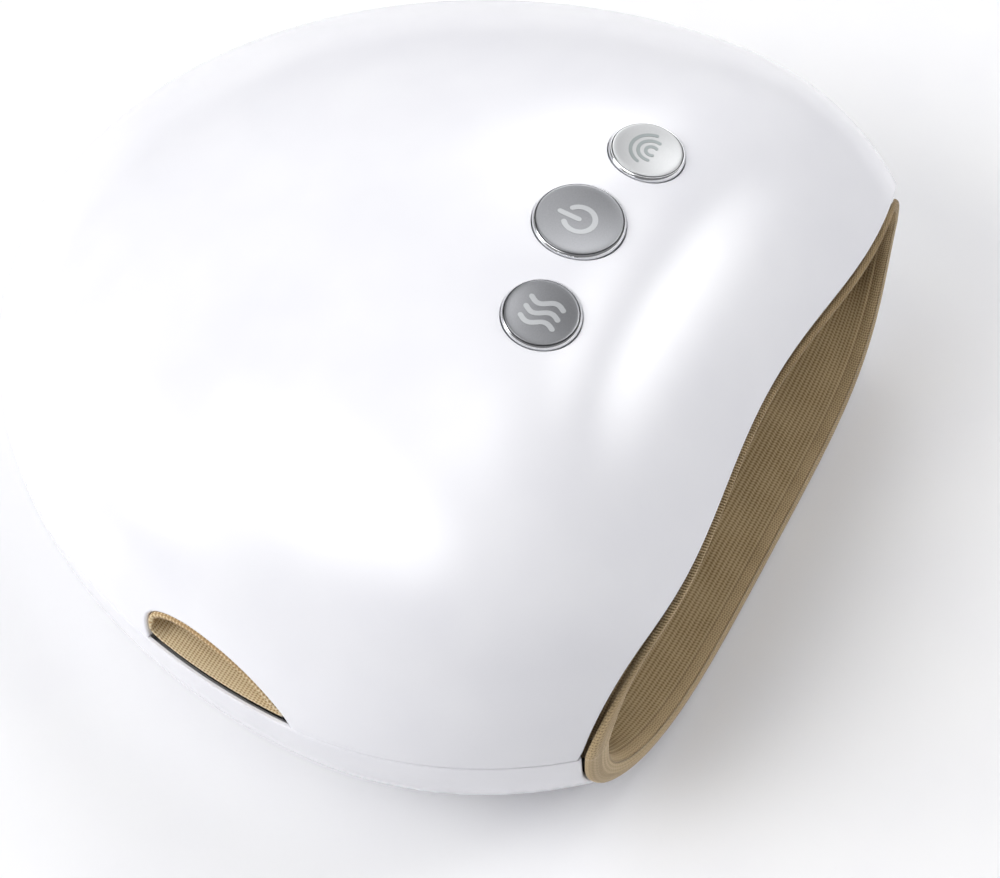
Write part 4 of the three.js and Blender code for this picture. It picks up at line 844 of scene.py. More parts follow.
def sleeve(name, side):
    """The thumb hole's lining: a ribbed cuff at its outer end, then plain knit down to the pocket"""
    line = leaf_outline(BORE_INSET, SLEEVE_FLOOR, 40)
    floor = np.linspace(line[-1, 0], line[0, 0], 60)[1:-1]
    bore = np.concatenate([line, np.stack([floor, np.full(len(floor), SLEEVE_FLOOR)], -1)])
    length = np.linalg.norm(np.diff(np.concatenate([bore, bore[:1]]), axis=0), axis=1).sum()
    ribs = int(round(length / CUFF_PITCH))
    bore = even(bore, length / (ribs * CUFF_STEPS), closed=True)
    y, height = bore.T
    count = len(bore)
    ahead = unit(np.roll(bore, -1, axis=0) - np.roll(bore, 1, axis=0))
    out = np.stack([-ahead[:, 1], ahead[:, 0]], -1)
    run = np.arange(count) * length / count
    rib = 0.5 - 0.5 * np.cos(2 * math.pi * run / (length / ribs))
    # The ribs of the cuff are plain to see only on its upper side, towards the heel
    upper_side = np.clip((height - CUFF_FOOT) / CUFF_FADE[1], 0, 1)
    back_share = np.clip((y - THUMB_FRONT_Y - THUMB_LENGTH * CUFF_START) / CUFF_FADE[0], 0, 1)
    ribbed = PLAIN_RIB_SHARE + (1 - PLAIN_RIB_SHARE) * upper_side * back_share
    # In front of the cuff the cloth spreads outwards to the edge of the hole
    spread = FLARE * np.clip(height / FLARE_HEIGHT, 0, 1) * (1 - ribbed)
    low = np.clip((FLARE_HEIGHT - height) / CUFF_FADE[1], 0, 1)
    outer_x = dome_side_x(y, height) - SLEEVE_SINK - FLOOR_SETBACK * low
    inner_x = pocket_side_x(y, height, LINING + SEAM_GAP)
    front, back = [], []
    for share in SLEEVE_SHARES:
        x = outer_x + (inner_x - outer_x) * share
        deep = outer_x - x
        rim = max(0, 1 - share / ROUND_SHARE)
        behind = deep - CUFF_DEPTH
        cuff = CUFF_SWELL / (1 + np.exp(behind / CUFF_EDGE)) + PLAIN_SWELL
        fold = CUFF_FOLD * np.exp(-((behind - CUFF_EDGE) / FOLD_WIDTH) ** 2)
        flare = spread * np.maximum(1 - deep / FLARE_DEPTH, 0) ** 2
        move = ribbed * (cuff * (rib - 0.5) - fold - ROUND_OVER * rim ** 2) - flare
        seen = bore - out * move[:, None]
        backed = bore + out * (SLEEVE_WALL - BACK_INSET - BACK_ROUND * rim)
        backed[:, 1] = np.maximum(backed[:, 1], SEAM_GAP / 3)
        front.append(np.stack([side * x, seen[:, 0], SEAM_HEIGHT + seen[:, 1]], -1))
        back.append(np.stack([side * x, backed[:, 0], SEAM_HEIGHT + backed[:, 1]], -1))
    front = np.stack(front)
    deep = np.abs(front[..., 0] - front[0, :, 0])
    uv = np.stack([np.broadcast_to(run, deep.shape), deep], -1)
    return cloth(name, front, np.stack(back), uv, ring=True)


left_sleeve = sleeve("thumb_knit_left", -1)
right_sleeve = sleeve("thumb_knit_right", 1)


# The three buttons: a dished cap, the symbol sunk into it, and a polished ring round it

CAP_RADIUS = {"power": 10.08, "heat": 8.38, "pressure": 8.38}
CAP_PROUD = 0.8
CAP_THICKNESS = 3.0
CAP_DISH = 0.35
DISH_RINGS = 9
LAST_RING = 0.4
LEVEL = 0.9
STEM_RADIUS = 2
STEM_ROUND = 0.3
WELD = 0.005
STEM_OVERLAP = 0.4
STEM_CLEAR = 0.15
# The ring's profile as (outward of its edge, above the dome): a long sleeve, a foot and a steep outer face
RING_PROFILE = [
    (-0.59, -4.1), (-0.21, -4.1), (-0.21, -0.8), (-0.02, -0.8), (-0.02, 0.05),
    (-0.36, 0.54), (-0.42, 0.6), (-0.5, 0.6), (-0.56, 0.54), (-0.59, 0.4),
]
SYMBOL_PROUD = 0.05
SYMBOL_SUNK = 0.1
STROKE_STEP = 0.16
RIM_WIDTH = 0.5
RIM_ROUND = 0.14


def start_edit(piece):
    pick(piece)
    bpy.ops.object.mode_set(mode="EDIT")


def pick_faces(piece, test):
    """Selects the faces whose middle and normal pass the test"""
    bpy.ops.mesh.select_mode(type="FACE")
    mesh = bmesh.from_edit_mesh(piece.data)
    for face in mesh.faces:
        face.select_set(bool(test(face.calc_center_median() / MM, face.normal)))
    mesh.select_flush(True)
    bmesh.update_edit_mesh(piece.data)


def round_edges(piece, width, segments=4, angle=40):
    bevel = piece.modifiers.new("rounding", "BEVEL")
    bevel.width = width * MM
    bevel.segments = segments
    bevel.limit_method = "ANGLE"
    bevel.angle_limit = math.radians(angle)
    apply_modifiers(piece)


def smooth(piece, angle=35):
    pick(piece)
    bpy.ops.object.shade_smooth_by_angle(angle=math.radians(angle))


def join(pieces, name):
    pick(*pieces)
    bpy.ops.object.join()
    pieces[0].name = name
    return pieces[0]


def stand_on_dome(piece, button):
    """Turns what was made along +Z to the button's axis and moves it to the button's place"""
    turn = turn_to(button_axis(button)).to_matrix().to_4x4()
    place = Matrix.Translation(Vector(to_frame(button_place(button))))
    piece.data.transform(place @ turn)
    piece.data.update()


def rod(radius, low, high, sides=64):
    pick()
    bpy.ops.mesh.primitive_cylinder_add(
        vertices=sides, radius=radius * MM, depth=(high - low) * MM, location=(0, 0, (high + low) / 2 * MM),
    )
    made = bpy.context.object
    bpy.ops.object.transform_apply(location=True, rotation=False, scale=False)
    return made


def make_cap(button):
    radius = CAP_RADIUS[button]
    cap = rod(radius, CAP_PROUD - CAP_THICKNESS, CAP_PROUD, 128)
    start_edit(cap)
    pick_faces(cap, lambda middle, normal: normal.z > LEVEL)
    bpy.ops.mesh.inset(thickness=RIM_WIDTH * MM)
    place = radius - RIM_WIDTH
    step = place / (DISH_RINGS + LAST_RING)
    for _ in range(DISH_RINGS):
        drop = CAP_DISH * (place ** 2 - (place - step) ** 2) / (radius - RIM_WIDTH) ** 2
        bpy.ops.mesh.inset(thickness=step * MM)
        bpy.ops.transform.translate(value=(0, 0, -drop * MM))
        place -= step
    bpy.ops.object.mode_set(mode="OBJECT")
    round_edges(cap, RIM_ROUND, 3, 50)
    stem_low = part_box("button_" + button)[0].z / MM - float(button_place(button)[2]) + STEM_CLEAR
    stem = rod(STEM_RADIUS, stem_low, CAP_PROUD - CAP_THICKNESS + STEM_OVERLAP, 32)
    round_edges(stem, STEM_ROUND, 3)
    cap = join([cap, stem], button + "_cap_metal")
    smooth(cap)
    stand_on_dome(cap, button)
    return cap


def make_ring(button):
    """A thin polished ring: its outer face leans in steeply, and its sleeve goes down through the shell"""
    outer = BUTTONS[button][2]
    pick()
    bpy.ops.mesh.primitive_circle_add(vertices=len(RING_PROFILE), radius=MM, fill_type="NOTHING")
    ring = bpy.context.object
    start_edit(ring)
    mesh = bmesh.from_edit_mesh(ring.data)
    for vertex, (out, height) in zip(mesh.verts, RING_PROFILE):
        vertex.co = ((outer + out) * MM, 0, height * MM)
    bmesh.update_edit_mesh(ring.data)
    bpy.ops.mesh.select_all(action="SELECT")
    bpy.ops.mesh.spin(
        steps=144, angle=2 * math.pi, center=(0, 0, 0), axis=(0, 0, 1), use_normal_flip=False, dupli=False,
    )
    bpy.ops.mesh.select_all(action="SELECT")
    bpy.ops.mesh.remove_doubles(threshold=WELD * MM)
    bpy.ops.mesh.normals_make_consistent(inside=False)
    bpy.ops.object.mode_set(mode="OBJECT")
    ring.name = button + "_ring_polished"
    smooth(ring, 40)
    stand_on_dome(ring, button)
    return ring


def dish_height(button, spots):
    radius = CAP_RADIUS[button] - RIM_WIDTH
    run = np.hypot(spots[:, 0], spots[:, 1])
    return CAP_PROUD - CAP_DISH * (1 - np.minimum(run / radius, 1) ** 2)


def stroke(button, line, width):
    """A ribbon with round ends that lies in the cap's dish along a line of points"""
    line = even(np.asarray(line, float), STROKE_STEP)
    ahead = unit(np.gradient(line, axis=0))
    side = np.stack([-ahead[:, 1], ahead[:, 0]], -1)
    half = width / 2
    turns = np.linspace(math.pi / 2, -math.pi / 2, 9)[1:-1]

    def round_end(centre, way):
        left = np.array([-way[1], way[0]])
        return np.array([centre + half * (math.cos(t) * way + math.sin(t) * left) for t in turns])

    ends = round_end(line[-1], ahead[-1]), round_end(line[0], -ahead[0])
    border = np.concatenate([line + side * half, ends[0], (line - side * half)[::-1], ends[1]])
    dish = dish_height(button, border)
    points = [np.column_stack([border, dish + lift]) for lift in (SYMBOL_PROUD, -SYMBOL_SUNK)]
    count, size = len(line), len(border)
    last = size - len(turns) - 1
    faces = [(k, last - k, last - k - 1, k + 1) for k in range(count - 1)]
    faces.append(tuple(range(count + len(turns), count - 2, -1)))
    faces.append((0, *range(size - 1, last - 1, -1)))
    faces += [tuple(size + k for k in face[::-1]) for face in faces]
    faces += [(k, (k + 1) % size, size + (k + 1) % size, size + k) for k in range(size)]
    mesh = bpy.data.meshes.new("stroke")
    mesh.from_pydata((np.concatenate(points) * MM).tolist(), [], faces)
    piece = bpy.data.objects.new("stroke", mesh)
    bpy.context.scene.collection.objects.link(piece)
    tidy_normals(piece)
    return piece


def arc(radius, start, end, centre=(0.0, 0.0)):
    turns = np.radians(np.linspace(start, end, 60))
    return np.stack([centre[0] + radius * np.cos(turns), centre[1] + radius * np.sin(turns)], -1)


# The signs: radii and turns of arcs, half lengths, spacing and the strokes' widths
POWER_RING = (3.6, 128, 412)
POWER_BAR = [(0, 0.2), (0, 4.9)]
POWER_STROKE = 1.3
WAVE_HALF = (0.85, 3.9)
WAVE_SPACING = 2.75
WAVE_STROKE = 1.25
PRESSURE_ARCS = ((5.0, 10, 162), (3.2, -12, 188), (1.4, -30, 210))
PRESSURE_CENTRE = (0.4, -0.9)
PRESSURE_STROKE = 0.9


def make_symbol(button):
    if button == "power":
        # An open ring with a bar through its gap, towards the back of the object
        lines, width = [arc(*POWER_RING), POWER_BAR], POWER_STROKE
    elif button == "heat":
        rise = np.linspace(-1, 1, 60)
        wave = np.stack([-WAVE_HALF[0] * np.sin(rise * math.pi), rise * WAVE_HALF[1]], -1)
        lines, width = [wave + [shift * WAVE_SPACING, 0] for shift in (-1, 0, 1)], WAVE_STROKE
    else:
        lines, width = [arc(*turns, PRESSURE_CENTRE) for turns in PRESSURE_ARCS], PRESSURE_STROKE
    symbol = join([stroke(button, line, width) for line in lines], button + "_symbol")
    smooth(symbol, 30)
    stand_on_dome(symbol, button)
    return symbol


caps = {button: make_cap(button) for button in BUTTONS}
rings = {button: make_ring(button) for button in BUTTONS}
symbols = {button: make_symbol(button) for button in BUTTONS}


# Rubber feet

TREAD_EDGE = 1.4
TREAD_STEPS = ((0.8, 0.5), (1.2, -0.5))
FOOT_ROUND = 0.35


def node_middle(name):
    low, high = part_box(name)
    return (low + high) / 2, (high.x - low.x) / 2 / MM


def upright(radius, low, high, centre, sides=48):
    made = rod(radius, low, high, sides)
    made.data.transform(Matrix.Translation((centre.x, centre.y, 0)))
    return made


def make_foot(name):
    middle, radius = node_middle(name)
    foot = upright(radius, 0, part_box(name)[1].z / MM, middle, 64)
    start_edit(foot)
    # A shallow ring is sunk into the tread
    pick_faces(foot, lambda centre, normal: normal.z < -LEVEL)
    bpy.ops.mesh.inset(thickness=TREAD_EDGE * MM)
    for width, lift in TREAD_STEPS:
        bpy.ops.mesh.inset(thickness=width * MM)
        bpy.ops.transform.translate(value=(0, 0, lift * MM))
    bpy.ops.object.mode_set(mode="OBJECT")
    round_edges(foot, FOOT_ROUND, 3)
    smooth(foot)
    foot.name = name + "_rubber"
    return foot


FEET = ["foot_front_left", "foot_front_right", "foot_rear_left", "foot_rear_right"]
feet = {name: make_foot(name) for name in FEET}


# What is cut into the lower shell: the feet's recesses, the screws' holes, the socket's slot and a
# step along each thumb hole that lets the lining hang in behind the rim

STEP_OUT = 0.95
STEP_IN = 3.4
STEP_DEPTH = 3.2
STEP_CLEAR = 1
STEP_LEAD = 0.5
STEP_LAG = 1.2
SCREW_GAP = 0.3
SLOT_RUN = 12
SLOT_ROUND = 1.2
FOOT_RECESS_TOP = 5
SEAT_TOP = 5.5
WELL_RADIUS = 3.1
WELL_WALL = 2
WELL_TOP = 21.7
WELL_HOLE_TOP = 19.7


def rim_step(side):
    y = np.linspace(THUMB_FRONT_Y - STEP_LEAD, THUMB_FRONT_Y + THUMB_LENGTH - STEP_LAG, 40)
    reach = HALF_WIDTH * np.sqrt(1 - (y / np.where(y < 0, FRONT_LENGTH, BACK_LENGTH)) ** 2)
    low, high = SEAM_HEIGHT - STEP_DEPTH, SEAM_HEIGHT + STEP_CLEAR
    corners = ((STEP_OUT, low), (STEP_OUT, high), (STEP_IN, high), (STEP_IN, low))
    return prism(np.stack([np.stack([side * (reach - into), y, y * 0 + z], -1) for into, z in corners], 1))


def socket_slot():
    low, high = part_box("charge_socket")
    size = high - low + Vector((2, 2, 2)) * SCREW_GAP * MM
    pick()
    bpy.ops.mesh.primitive_cube_add(size=1, location=(low + high) / 2 + Vector((0, SLOT_RUN / 2, 0)) * MM)
    slot = bpy.context.object
    slot.scale = (size.x, size.y + SLOT_RUN * MM, size.z)
    bpy.ops.object.transform_apply(location=True, rotation=False, scale=True)
    edges = slot.modifiers.new("rounding", "BEVEL")
    edges.width, edges.segments = SLOT_ROUND * MM, 4
    apply_modifiers(slot)
    return slot


def screw_well(name):
    """A tube on the shell's inner face, whose foot follows the bowl, closed at the top by a floor"""
    centre, _ = node_middle(name)
    well = upright(WELL_RADIUS + WELL_WALL, 0, WELL_TOP, centre)
    for vertex in well.data.vertices:
        if vertex.co.z < WELL_TOP / 2 * MM:
            x, y = vertex.co.x / MM, vertex.co.y / MM - SHIFT_Y
            vertex.co.z = float(bowl_height(np.array(x), np.array(y), WALL / 2)) * MM
    return well


cutters = [rim_step(1), rim_step(-1), socket_slot()]
for name in FEET:
    centre, radius = node_middle(name)
    cutters.append(upright(radius + SCREW_GAP, 0, FOOT_RECESS_TOP, centre, 64))
for name in frame["nodes"]:
    if name.startswith("base_screw"):
        centre, radius = node_middle(name)
        cutters.append(upright(radius + SCREW_GAP, 0, SEAT_TOP, centre))
wells = []
for name in ("shell_screw_left", "shell_screw_right"):
    wells.append(screw_well(name))
    cutters.append(upright(WELL_RADIUS, 0, WELL_HOLE_TOP, node_middle(name)[0]))
cut_away(lower_shell, wells, "UNION")
cut_away(lower_shell, cutters)
smooth(lower_shell, 30)


# What lies inside and is soft: copies of the solids, with their edges swollen and rounded

def softened(node, name, cell, passes=4):
    copy = bpy.data.objects.new(name, frame["nodes"][node].data.copy())
    bpy.context.scene.collection.objects.link(copy)
    tidy_normals(copy, 1e-5)
    remesh = copy.modifiers.new("remesh", "REMESH")
    remesh.mode = "VOXEL"
    remesh.voxel_size = cell * MM
    soften = copy.modifiers.new("soften", "SMOOTH")
    soften.factor = 0.5
    soften.iterations = passes
    apply_modifiers(copy)
    copy.data.materials.clear()
    for polygon in copy.data.polygons:
        polygon.use_smooth = True
    return copy


BAG_CELL = 1.2
HOSE_CELL = 0.45
BAGS = ("upper_air_bag", "lower_air_bag")
HOSES = ("pump_hose", "upper_hose", "lower_hose")
bags = {name: softened(name, name + "_coated", BAG_CELL) for name in BAGS}
hoses = {name: softened(name, name + "_silicone", HOSE_CELL, 3) for name in HOSES}


PAD_SHARE = 0.9
PAD_ROUND = 0.2


def make_heating_pad():
    low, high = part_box("heating_pad")
    pick()
    bpy.ops.mesh.primitive_grid_add(x_subdivisions=48, y_subdivisions=24, size=1, location=(low + high) / 2)
    pad = bpy.context.object
    pad.scale = (high.x - low.x, high.y - low.y, 1)
    bpy.ops.object.transform_apply(location=True, rotation=False, scale=True)
    thicken = pad.modifiers.new("thickness", "SOLIDIFY")
    thicken.thickness = (high.z - low.z) * PAD_SHARE
    thicken.offset = 0
    apply_modifiers(pad)
    round_edges(pad, PAD_ROUND, 2)
    pad.name = "heating_film"
    smooth(pad)
    return pad


heating_pad = make_heating_pad()


# Materials

def linear(colour):
    """An sRGB hex colour as linear light"""
    values = [int(colour[k:k + 2], 16) / 255 for k in (1, 3, 5)]
    return [v / 12.92 if v <= 0.04045 else ((v + 0.055) / 1.055) ** 2.4 for v in values] + [1.0]


def add(tree, kind, settings=None, links=None, stops=()):
    """Adds a shader node with its settings, links its inputs and sets a ramp's (place, colour) stops"""
    node = tree.nodes.new("ShaderNode" + kind)
    for key, value in (settings or {}).items():
        if isinstance(key, str) and hasattr(node, key):
            setattr(node, key, value)
        else:
            node.inputs[key].default_value = value
    for key, socket in (links or {}).items():
        tree.links.new(socket, node.inputs[key])
    for index, (place, colour) in enumerate(stops):
        if index == len(node.color_ramp.elements):
            node.color_ramp.elements.new(1.0)
        node.color_ramp.elements[index].position = place
        node.color_ramp.elements[index].color = linear(colour)
    return node


def new_material(name):
    material = bpy.data.materials.new(name)
    material.use_nodes = True
    material.node_tree.nodes.clear()
    return material, material.node_tree


def finish_material(tree, settings, links):
    surface = add(tree, "BsdfPrincipled", settings, links)
    add(tree, "OutputMaterial", {}, {"Surface": surface.outputs["BSDF"]})


DRIFT_MM = 28


def surface(name, light, dark, roughness, spread, grain_mm, depth_mm, ior=1.5, metal=False, stretch=None):
    """A hard or dipped surface: the tint drifts slowly, or with the grain on metal, and the grain sets the
    gloss and a fine bump; a stretched grain looks brushed"""
    material, tree = new_material(name)
    coords = add(tree, "TexCoord").outputs["Object"]
    turned = add(tree, "Mapping", {"Scale": stretch or (1, 1, 1)}, {"Vector": coords}).outputs["Vector"]
    sizes = {"Scale": 1 / (grain_mm * MM), "Detail": 4.0 if metal else 3.0}
    grain = add(tree, "TexNoise", sizes, {"Vector": turned}).outputs["Fac"]
    sizes = {"Scale": 1 / (DRIFT_MM * MM), "Detail": 2.0}
    drift = grain if metal else add(tree, "TexNoise", sizes, {"Vector": coords}).outputs["Fac"]
    stops = [(0.25, dark), (0.75, light)] if metal else [(0.3, dark), (0.7, light)]
    colour = add(tree, "ValToRGB", {}, {"Fac": drift}, stops).outputs["Color"]
    gloss = add(tree, "MapRange", {3: roughness - spread, 4: roughness + spread}, {0: grain}).outputs[0]
    relief = {"Strength": 0.5, "Distance": depth_mm * MM}
    bump = add(tree, "Bump", relief, {"Height": grain}).outputs["Normal"]
    finish_material(tree, {"IOR": ior, "Metallic": float(metal)}, {
        "Base Color": colour, "Roughness": gloss, "Normal": bump,
    })
    return material


STITCH_SHIFT = 1.2
STITCH_SHARE = 0.22
RIB_SHARE = 0.25
HAIR_SHARE = 0.3
PATCH_MM = 9
HOLE_SHADE_FROM = 0.042
HOLE_SHADE_TO = 0.05


def knit(name, light, middle, dark, rib_mm, stitch_mm, depth_mm, hair_mm=0.25, patch=0.35, painted_shade=0.0):
    """Knit cloth on the piece's own millimetre map: ribs of stitches with painted shade between them, with
    loose fibre;
    a cloth with painted shade darkens upwards, standing in for the shade under the thumb hole's upper edge"""
    material, tree = new_material(name)

    def maths(operation, settings, *sockets):
        links = {place: socket for place, socket in zip((0, 2), sockets)}
        return add(tree, "Math", {"operation": operation, **settings}, links).outputs[0]

    cloth = add(tree, "UVMap", {"uv_map": "cloth_mm"}).outputs["UV"]
    parts = add(tree, "SeparateXYZ", {}, {0: cloth}).outputs
    sizes = (parts["X"], rib_mm), (parts["Y"], stitch_mm), (parts["X"], 2 * rib_mm)
    turns = [maths("MULTIPLY", {1: 2 * math.pi / size}, socket) for socket, size in sizes]
    # Every second rib has its stitches set half a stitch along
    shifted = maths("MULTIPLY_ADD", {1: STITCH_SHIFT}, maths("SINE", {}, turns[2]), turns[1])
    weave = maths("MULTIPLY_ADD", {1: RIB_SHARE, 2: 0.5}, maths("COSINE", {}, turns[0]))
    height = maths("MULTIPLY_ADD", {1: STITCH_SHARE}, maths("SINE", {}, shifted), weave)
    coords = add(tree, "TexCoord").outputs["Object"]
    hair, drift = [
        add(tree, "TexNoise", {"Scale": 1 / (size * MM), "Detail": 2.0}, {"Vector": coords}).outputs["Fac"]
        for size in (hair_mm, PATCH_MM)
    ]
    full = maths("MULTIPLY_ADD", {1: HAIR_SHARE}, hair, height)
    worn = maths("MULTIPLY_ADD", {1: patch, 2: -(patch + HAIR_SHARE) / 2}, drift)
    place = add(tree, "SeparateXYZ", {}, {0: coords})
    # Painted shade: between these heights the cloth darkens upwards, for the shadow under the thumb hole's
    # upper edge
    shades = {1: HOLE_SHADE_FROM, 2: HOLE_SHADE_TO, 3: 0.1 * painted_shade, 4: -painted_shade}
    painted_shade_upward = add(tree, "MapRange", shades, {0: place.outputs["Z"]}).outputs[0]
    patches_and_painted_shade = maths("MULTIPLY_ADD", {1: 1.0}, worn, painted_shade_upward)
    shade = maths("MULTIPLY_ADD", {1: 1.0}, full, patches_and_painted_shade)
    # The stitches' low places take the darker stops: painted shade between ribs and stitches; fibre and
    # patches vary the tone
    stops = [(0.1, dark), (0.45, middle), (0.85, light)]
    colour = add(tree, "ValToRGB", {}, {"Fac": shade}, stops)
    bump = add(tree, "Bump", {"Strength": 0.8, "Distance": depth_mm * MM}, {"Height": full})
    finish_material(tree, {"Roughness": 0.88, "Sheen Weight": 0.25, "Sheen Roughness": 0.45, "IOR": 1.45}, {
        "Base Color": colour.outputs["Color"], "Normal": bump.outputs["Normal"],
    })
    return material


# High-gloss white ABS from a polished mould: broad soft reflections with a very faint waviness
shell_abs = surface("gloss_white_abs", "#F1F1F5", "#ECECF1", 0.2, 0.02, 6.0, 0.004, 1.53)
# Tan polyester jersey, its stitches drawn a little coarse so that they show: fine dots in ribs, with painted
# shade between them
lining_knit = knit("tan_jersey_knit", "#BBA580", "#A58E68", "#806A46", 0.9, 0.8, 0.1)
# Ribbed elastic binding of the same yarn: its ribs are in the mesh, so the map only adds the yarn's stitches,
# with painted shade between them
welt_knit = knit("tan_rib_binding", "#C9B28C", "#B59D77", "#8A7450", 0.7, 0.6, 0.06, 0.2)
# Golden rib knit of the thumb holes, cream below, with painted shade making it brown under the upper edge
sleeve_knit = knit("gold_rib_knit", "#E9DBBB", "#D2BB92", "#A3835A", 0.93, 0.55, 0.05, 0.2, 0.35, 0.4)
# Satin anodised aluminium, fine blasted: a soft sheen with a cool grey tint
cap_dark = surface("satin_aluminium_grey", "#98999C", "#919295", 0.32, 0.03, 0.35, 0.004, metal=True)
cap_light = surface("satin_aluminium_pale", "#B9BABB", "#B2B3B4", 0.34, 0.03, 0.35, 0.004, metal=True)
# Polished chrome plate on the rings: sharp bright and dark lines
ring_chrome = surface("polished_chrome", "#EDEEEF", "#E6E7E9", 0.07, 0.02, 2.0, 0.001, metal=True)
# Etched symbols: brighter, rougher metal on the dark caps and duller on the pale one
symbol_light = surface("etched_symbol_pale", "#BFC1C3", "#B7B9BB", 0.42, 0.04, 0.2, 0.01, metal=True)
symbol_dark = surface("etched_symbol_grey", "#9AA0A0", "#929898", 0.40, 0.04, 0.2, 0.01, metal=True)
# Moulded rubber of the feet: near black and matt
foot_rubber = surface("foot_rubber", "#3A3B3D", "#303133", 0.7, 0.08, 0.5, 0.02, 1.52)
# Glass-filled ABS of the inner deck and housings: matt grey with a fine grain
inner_abs = surface("matt_grey_abs", "#53565B", "#4A4D52", 0.55, 0.08, 0.6, 0.015, 1.53)
# Green solder resist over glass laminate: glossy, with a faint weave
board_resist = surface("solder_resist_green", "#2C6B44", "#24593A", 0.28, 0.05, 1.2, 0.006)
# Zinc-plated steel of the screws, motor can and socket shell: a grey sheen in drawn lines
plated_steel = surface("plated_steel", "#C3C6C9", "#A9ADB1", 0.32, 0.08, 0.8, 0.004, 1.5, True, (1, 1, 6))
# Silicone tube of the hoses: milky and half matt
hose_silicone = surface("silicone_tube", "#DDE0DE", "#D2D6D3", 0.42, 0.06, 0.9, 0.01, 1.41)
# Polyimide film of the heating pad: smooth amber
heater_film = surface("polyimide_film", "#B9682E", "#A95C26", 0.3, 0.06, 1.5, 0.01, 1.6)
# Urethane-coated nylon of the air bags: grey-blue, half matt, slightly uneven
bag_coated = surface("coated_nylon", "#A3ADB6", "#949FA9", 0.5, 0.07, 0.7, 0.03)
# Heat-shrink sleeve round the cells: tight, blue and half glossy
battery_sleeve = surface("shrink_sleeve_blue", "#4273A8", "#38659A", 0.34, 0.05, 1.4, 0.01)


def wear(piece, material):
    piece.data.materials.clear()
    piece.data.materials.append(material)


INNER_ABS_NODES = (
    "inner_deck", "floor_plate", "pump_head", "valve_body", "air_manifold", "buzzer",
    "switch_power", "switch_heat", "switch_pressure",
)
NODE_FINISH = {name: inner_abs for name in INNER_ABS_NODES}
NODE_FINISH.update(button_board=board_resist, control_board=board_resist, battery_pack=battery_sleeve)
for name, node in frame["nodes"].items():
    material = NODE_FINISH.get(name, plated_steel)
    if not node.data.materials:
        node.data.materials.append(material)
    for slot in node.material_slots:
        slot.material = material


# Every piece in its place: its finish, the body that it rides on and the node that it stands for

def dress(piece, material, slot, body, *replaced):
    wear(piece, material)
    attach(piece, body)
    if replaced:
        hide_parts(*replaced)


dress(upper_shell, shell_abs, "shell", "housing", "upper_shell")
dress(lower_shell, shell_abs, "shell", "housing", "lower_shell")
for piece, material, name, fill in (
    (upper_lining, lining_knit, "upper_lining", 0.4),
    (lower_lining, lining_knit, "lower_lining", 0.4),
    (welt, welt_knit, "mouth_welt", 0.8),
    (left_sleeve, sleeve_knit, "thumb_lining_left", 0.5),
    (right_sleeve, sleeve_knit, "thumb_lining_right", 0.5),
):
    dress(piece, material, "knit", "housing", name)
for button in BUTTONS:
    pale = button == "pressure"
    slot = "cap_light" if pale else "cap_dark"
    dress(caps[button], cap_light if pale else cap_dark, slot, button + "_cap", "button_" + button)
    dress(symbols[button], symbol_dark if pale else symbol_light, slot, button + "_cap")
    dress(rings[button], ring_chrome, "bezel", "housing", "bezel_" + button)
for name, foot in feet.items():
    dress(foot, foot_rubber, "foot", "housing", name)
for name, bag in bags.items():
    dress(bag, bag_coated, "bag", "housing", name)
for name, hose in hoses.items():
    dress(hose, hose_silicone, "hose", "housing", name)
dress(heating_pad, heater_film, "heater", "housing", "heating_pad")


# Floor, lights and camera

pick()
bpy.ops.mesh.primitive_plane_add(size=8)
floor = bpy.context.object
floor.name = "studio_floor"
# Seamless white paper, matt, with a faint mottle
floor_paper = surface("studio_paper", "#FAFAFB", "#F7F7F9", 0.8, 0.04, 3.0, 0.005, 1.4)
wear(floor, floor_paper)

WORLD_POWER = 0.225
world = bpy.data.worlds.new("studio")
bpy.context.scene.world = world
world.use_nodes = True
world.node_tree.nodes.clear()
backdrop = add(world.node_tree, "Background", {"Color": linear("#F6F6F9"), "Strength": WORLD_POWER})
add(world.node_tree, "OutputWorld", {}, {"Surface": backdrop.outputs[0]})

# Where each light stands: turn, height angle, distance, size and power. Two on the left make the dome's
# broad highlight, the front one makes the highlight beside the buttons, and the rest is fill
LIGHTS = {
    "softbox_left": (144, 43, 1.3, (1.9, 1.1), 10.0),
    "softbox_low_left": (120, 15, 1.3, (1.1, 0.5), 3.2),
    "softbox_front": (-53, 30, 1.2, (0.55, 0.75), 3.3),
    "fill_right": (20, 40, 1.3, (1.0, 0.8), 2.7),
    "fill_front": (-30, 60, 1.3, (1.0, 0.8), 2.9),
    "fill_top": (122, 75, 1.5, (1.3, 1.3), 3.2),
}
LIGHT_TARGET = Vector((0, 0, 0.07))
FADE_POWER = 2
FADE_PEAK = 1.7


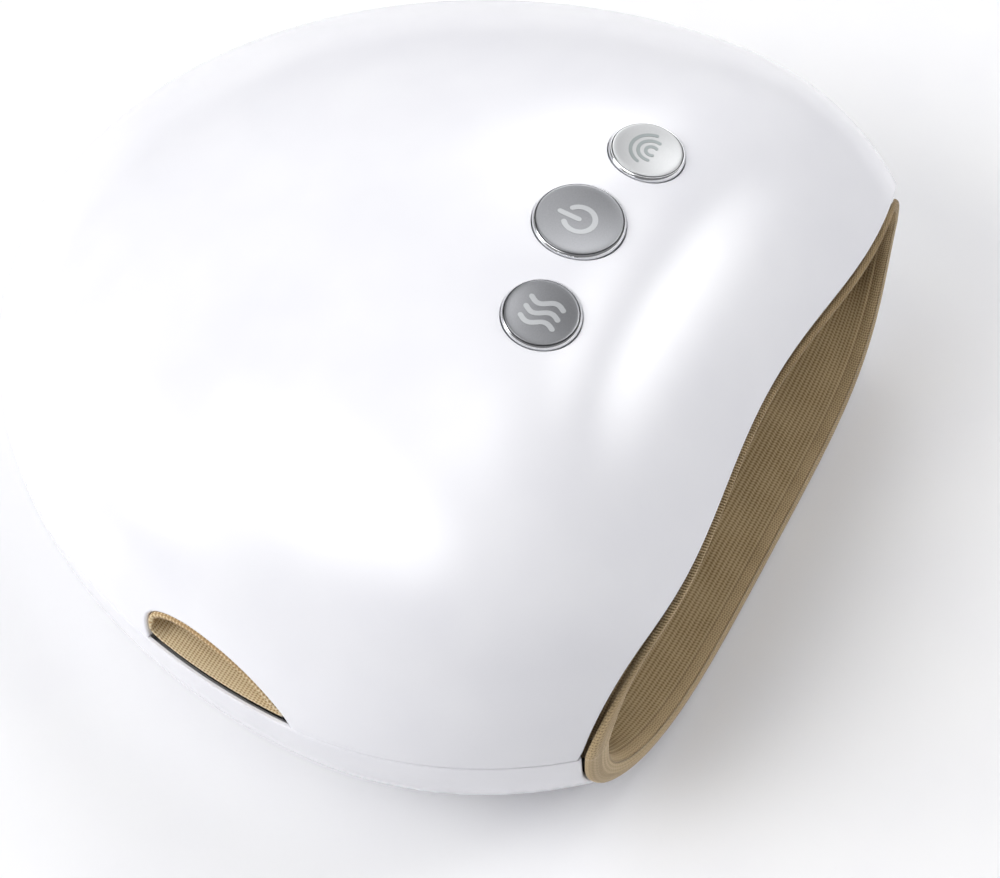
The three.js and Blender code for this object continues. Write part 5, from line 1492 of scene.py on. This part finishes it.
def softbox(name, azimuth, elevation, distance, size, power):
    """An oval area light that stands off in a direction, faces the object and fades towards its edge"""
    lamp = bpy.data.lights.new(name, "AREA")
    lamp.shape = "ELLIPSE"
    lamp.size, lamp.size_y = size
    lamp.energy = power * FADE_POWER
    lamp.use_nodes = True
    tree = lamp.node_tree
    tree.nodes.clear()
    spot = add(tree, "NewGeometry").outputs["Parametric"]
    middle = add(tree, "VectorMath", {"operation": "DISTANCE", 1: (0.5, 0.5, 0.0)}, {0: spot})
    reach = {"interpolation_type": "SMOOTHSTEP", 1: 0.5, 2: 0.0, 3: 0.0, 4: FADE_PEAK}
    fade = add(tree, "MapRange", reach, {0: middle.outputs["Value"]})
    glow = add(tree, "Emission", {}, {"Strength": fade.outputs[0]})
    add(tree, "OutputLight", {}, {"Surface": glow.outputs[0]})
    around, above = math.radians(azimuth), math.radians(elevation)
    flat = math.cos(above)
    direction = Vector((flat * math.cos(around), flat * math.sin(around), math.sin(above)))
    light = bpy.data.objects.new(name, lamp)
    light.location = LIGHT_TARGET + direction * distance
    light.rotation_euler = direction.to_track_quat("Z", "Y").to_euler()
    bpy.context.scene.collection.objects.link(light)


for name, place in LIGHTS.items():
    softbox(name, *place)

# Focal length and place worked out from the outline, the lip and the buttons in the photograph
CAMERA_PLACE = (-0.3088, -0.1565 + SHIFT_Y * MM, 0.5025)
CAMERA_RIGHT = (0.4636, -0.8860, 0.0)
CAMERA_UP = (0.7264, 0.3801, 0.5726)
CAMERA_BACK = (-0.5073, -0.2655, 0.8199)
CAMERA_FILM = (36, 82.8)
camera_data = bpy.data.cameras.new("camera")
camera_data.sensor_width, camera_data.lens = CAMERA_FILM
camera = bpy.data.objects.new("camera", camera_data)
turned = Matrix((CAMERA_RIGHT, CAMERA_UP, CAMERA_BACK)).transposed().to_4x4()
camera.matrix_world = Matrix.Translation(CAMERA_PLACE) @ turned
bpy.context.scene.collection.objects.link(camera)
bpy.context.scene.camera = camera
bpy.context.scene.view_settings.view_transform = "Standard"
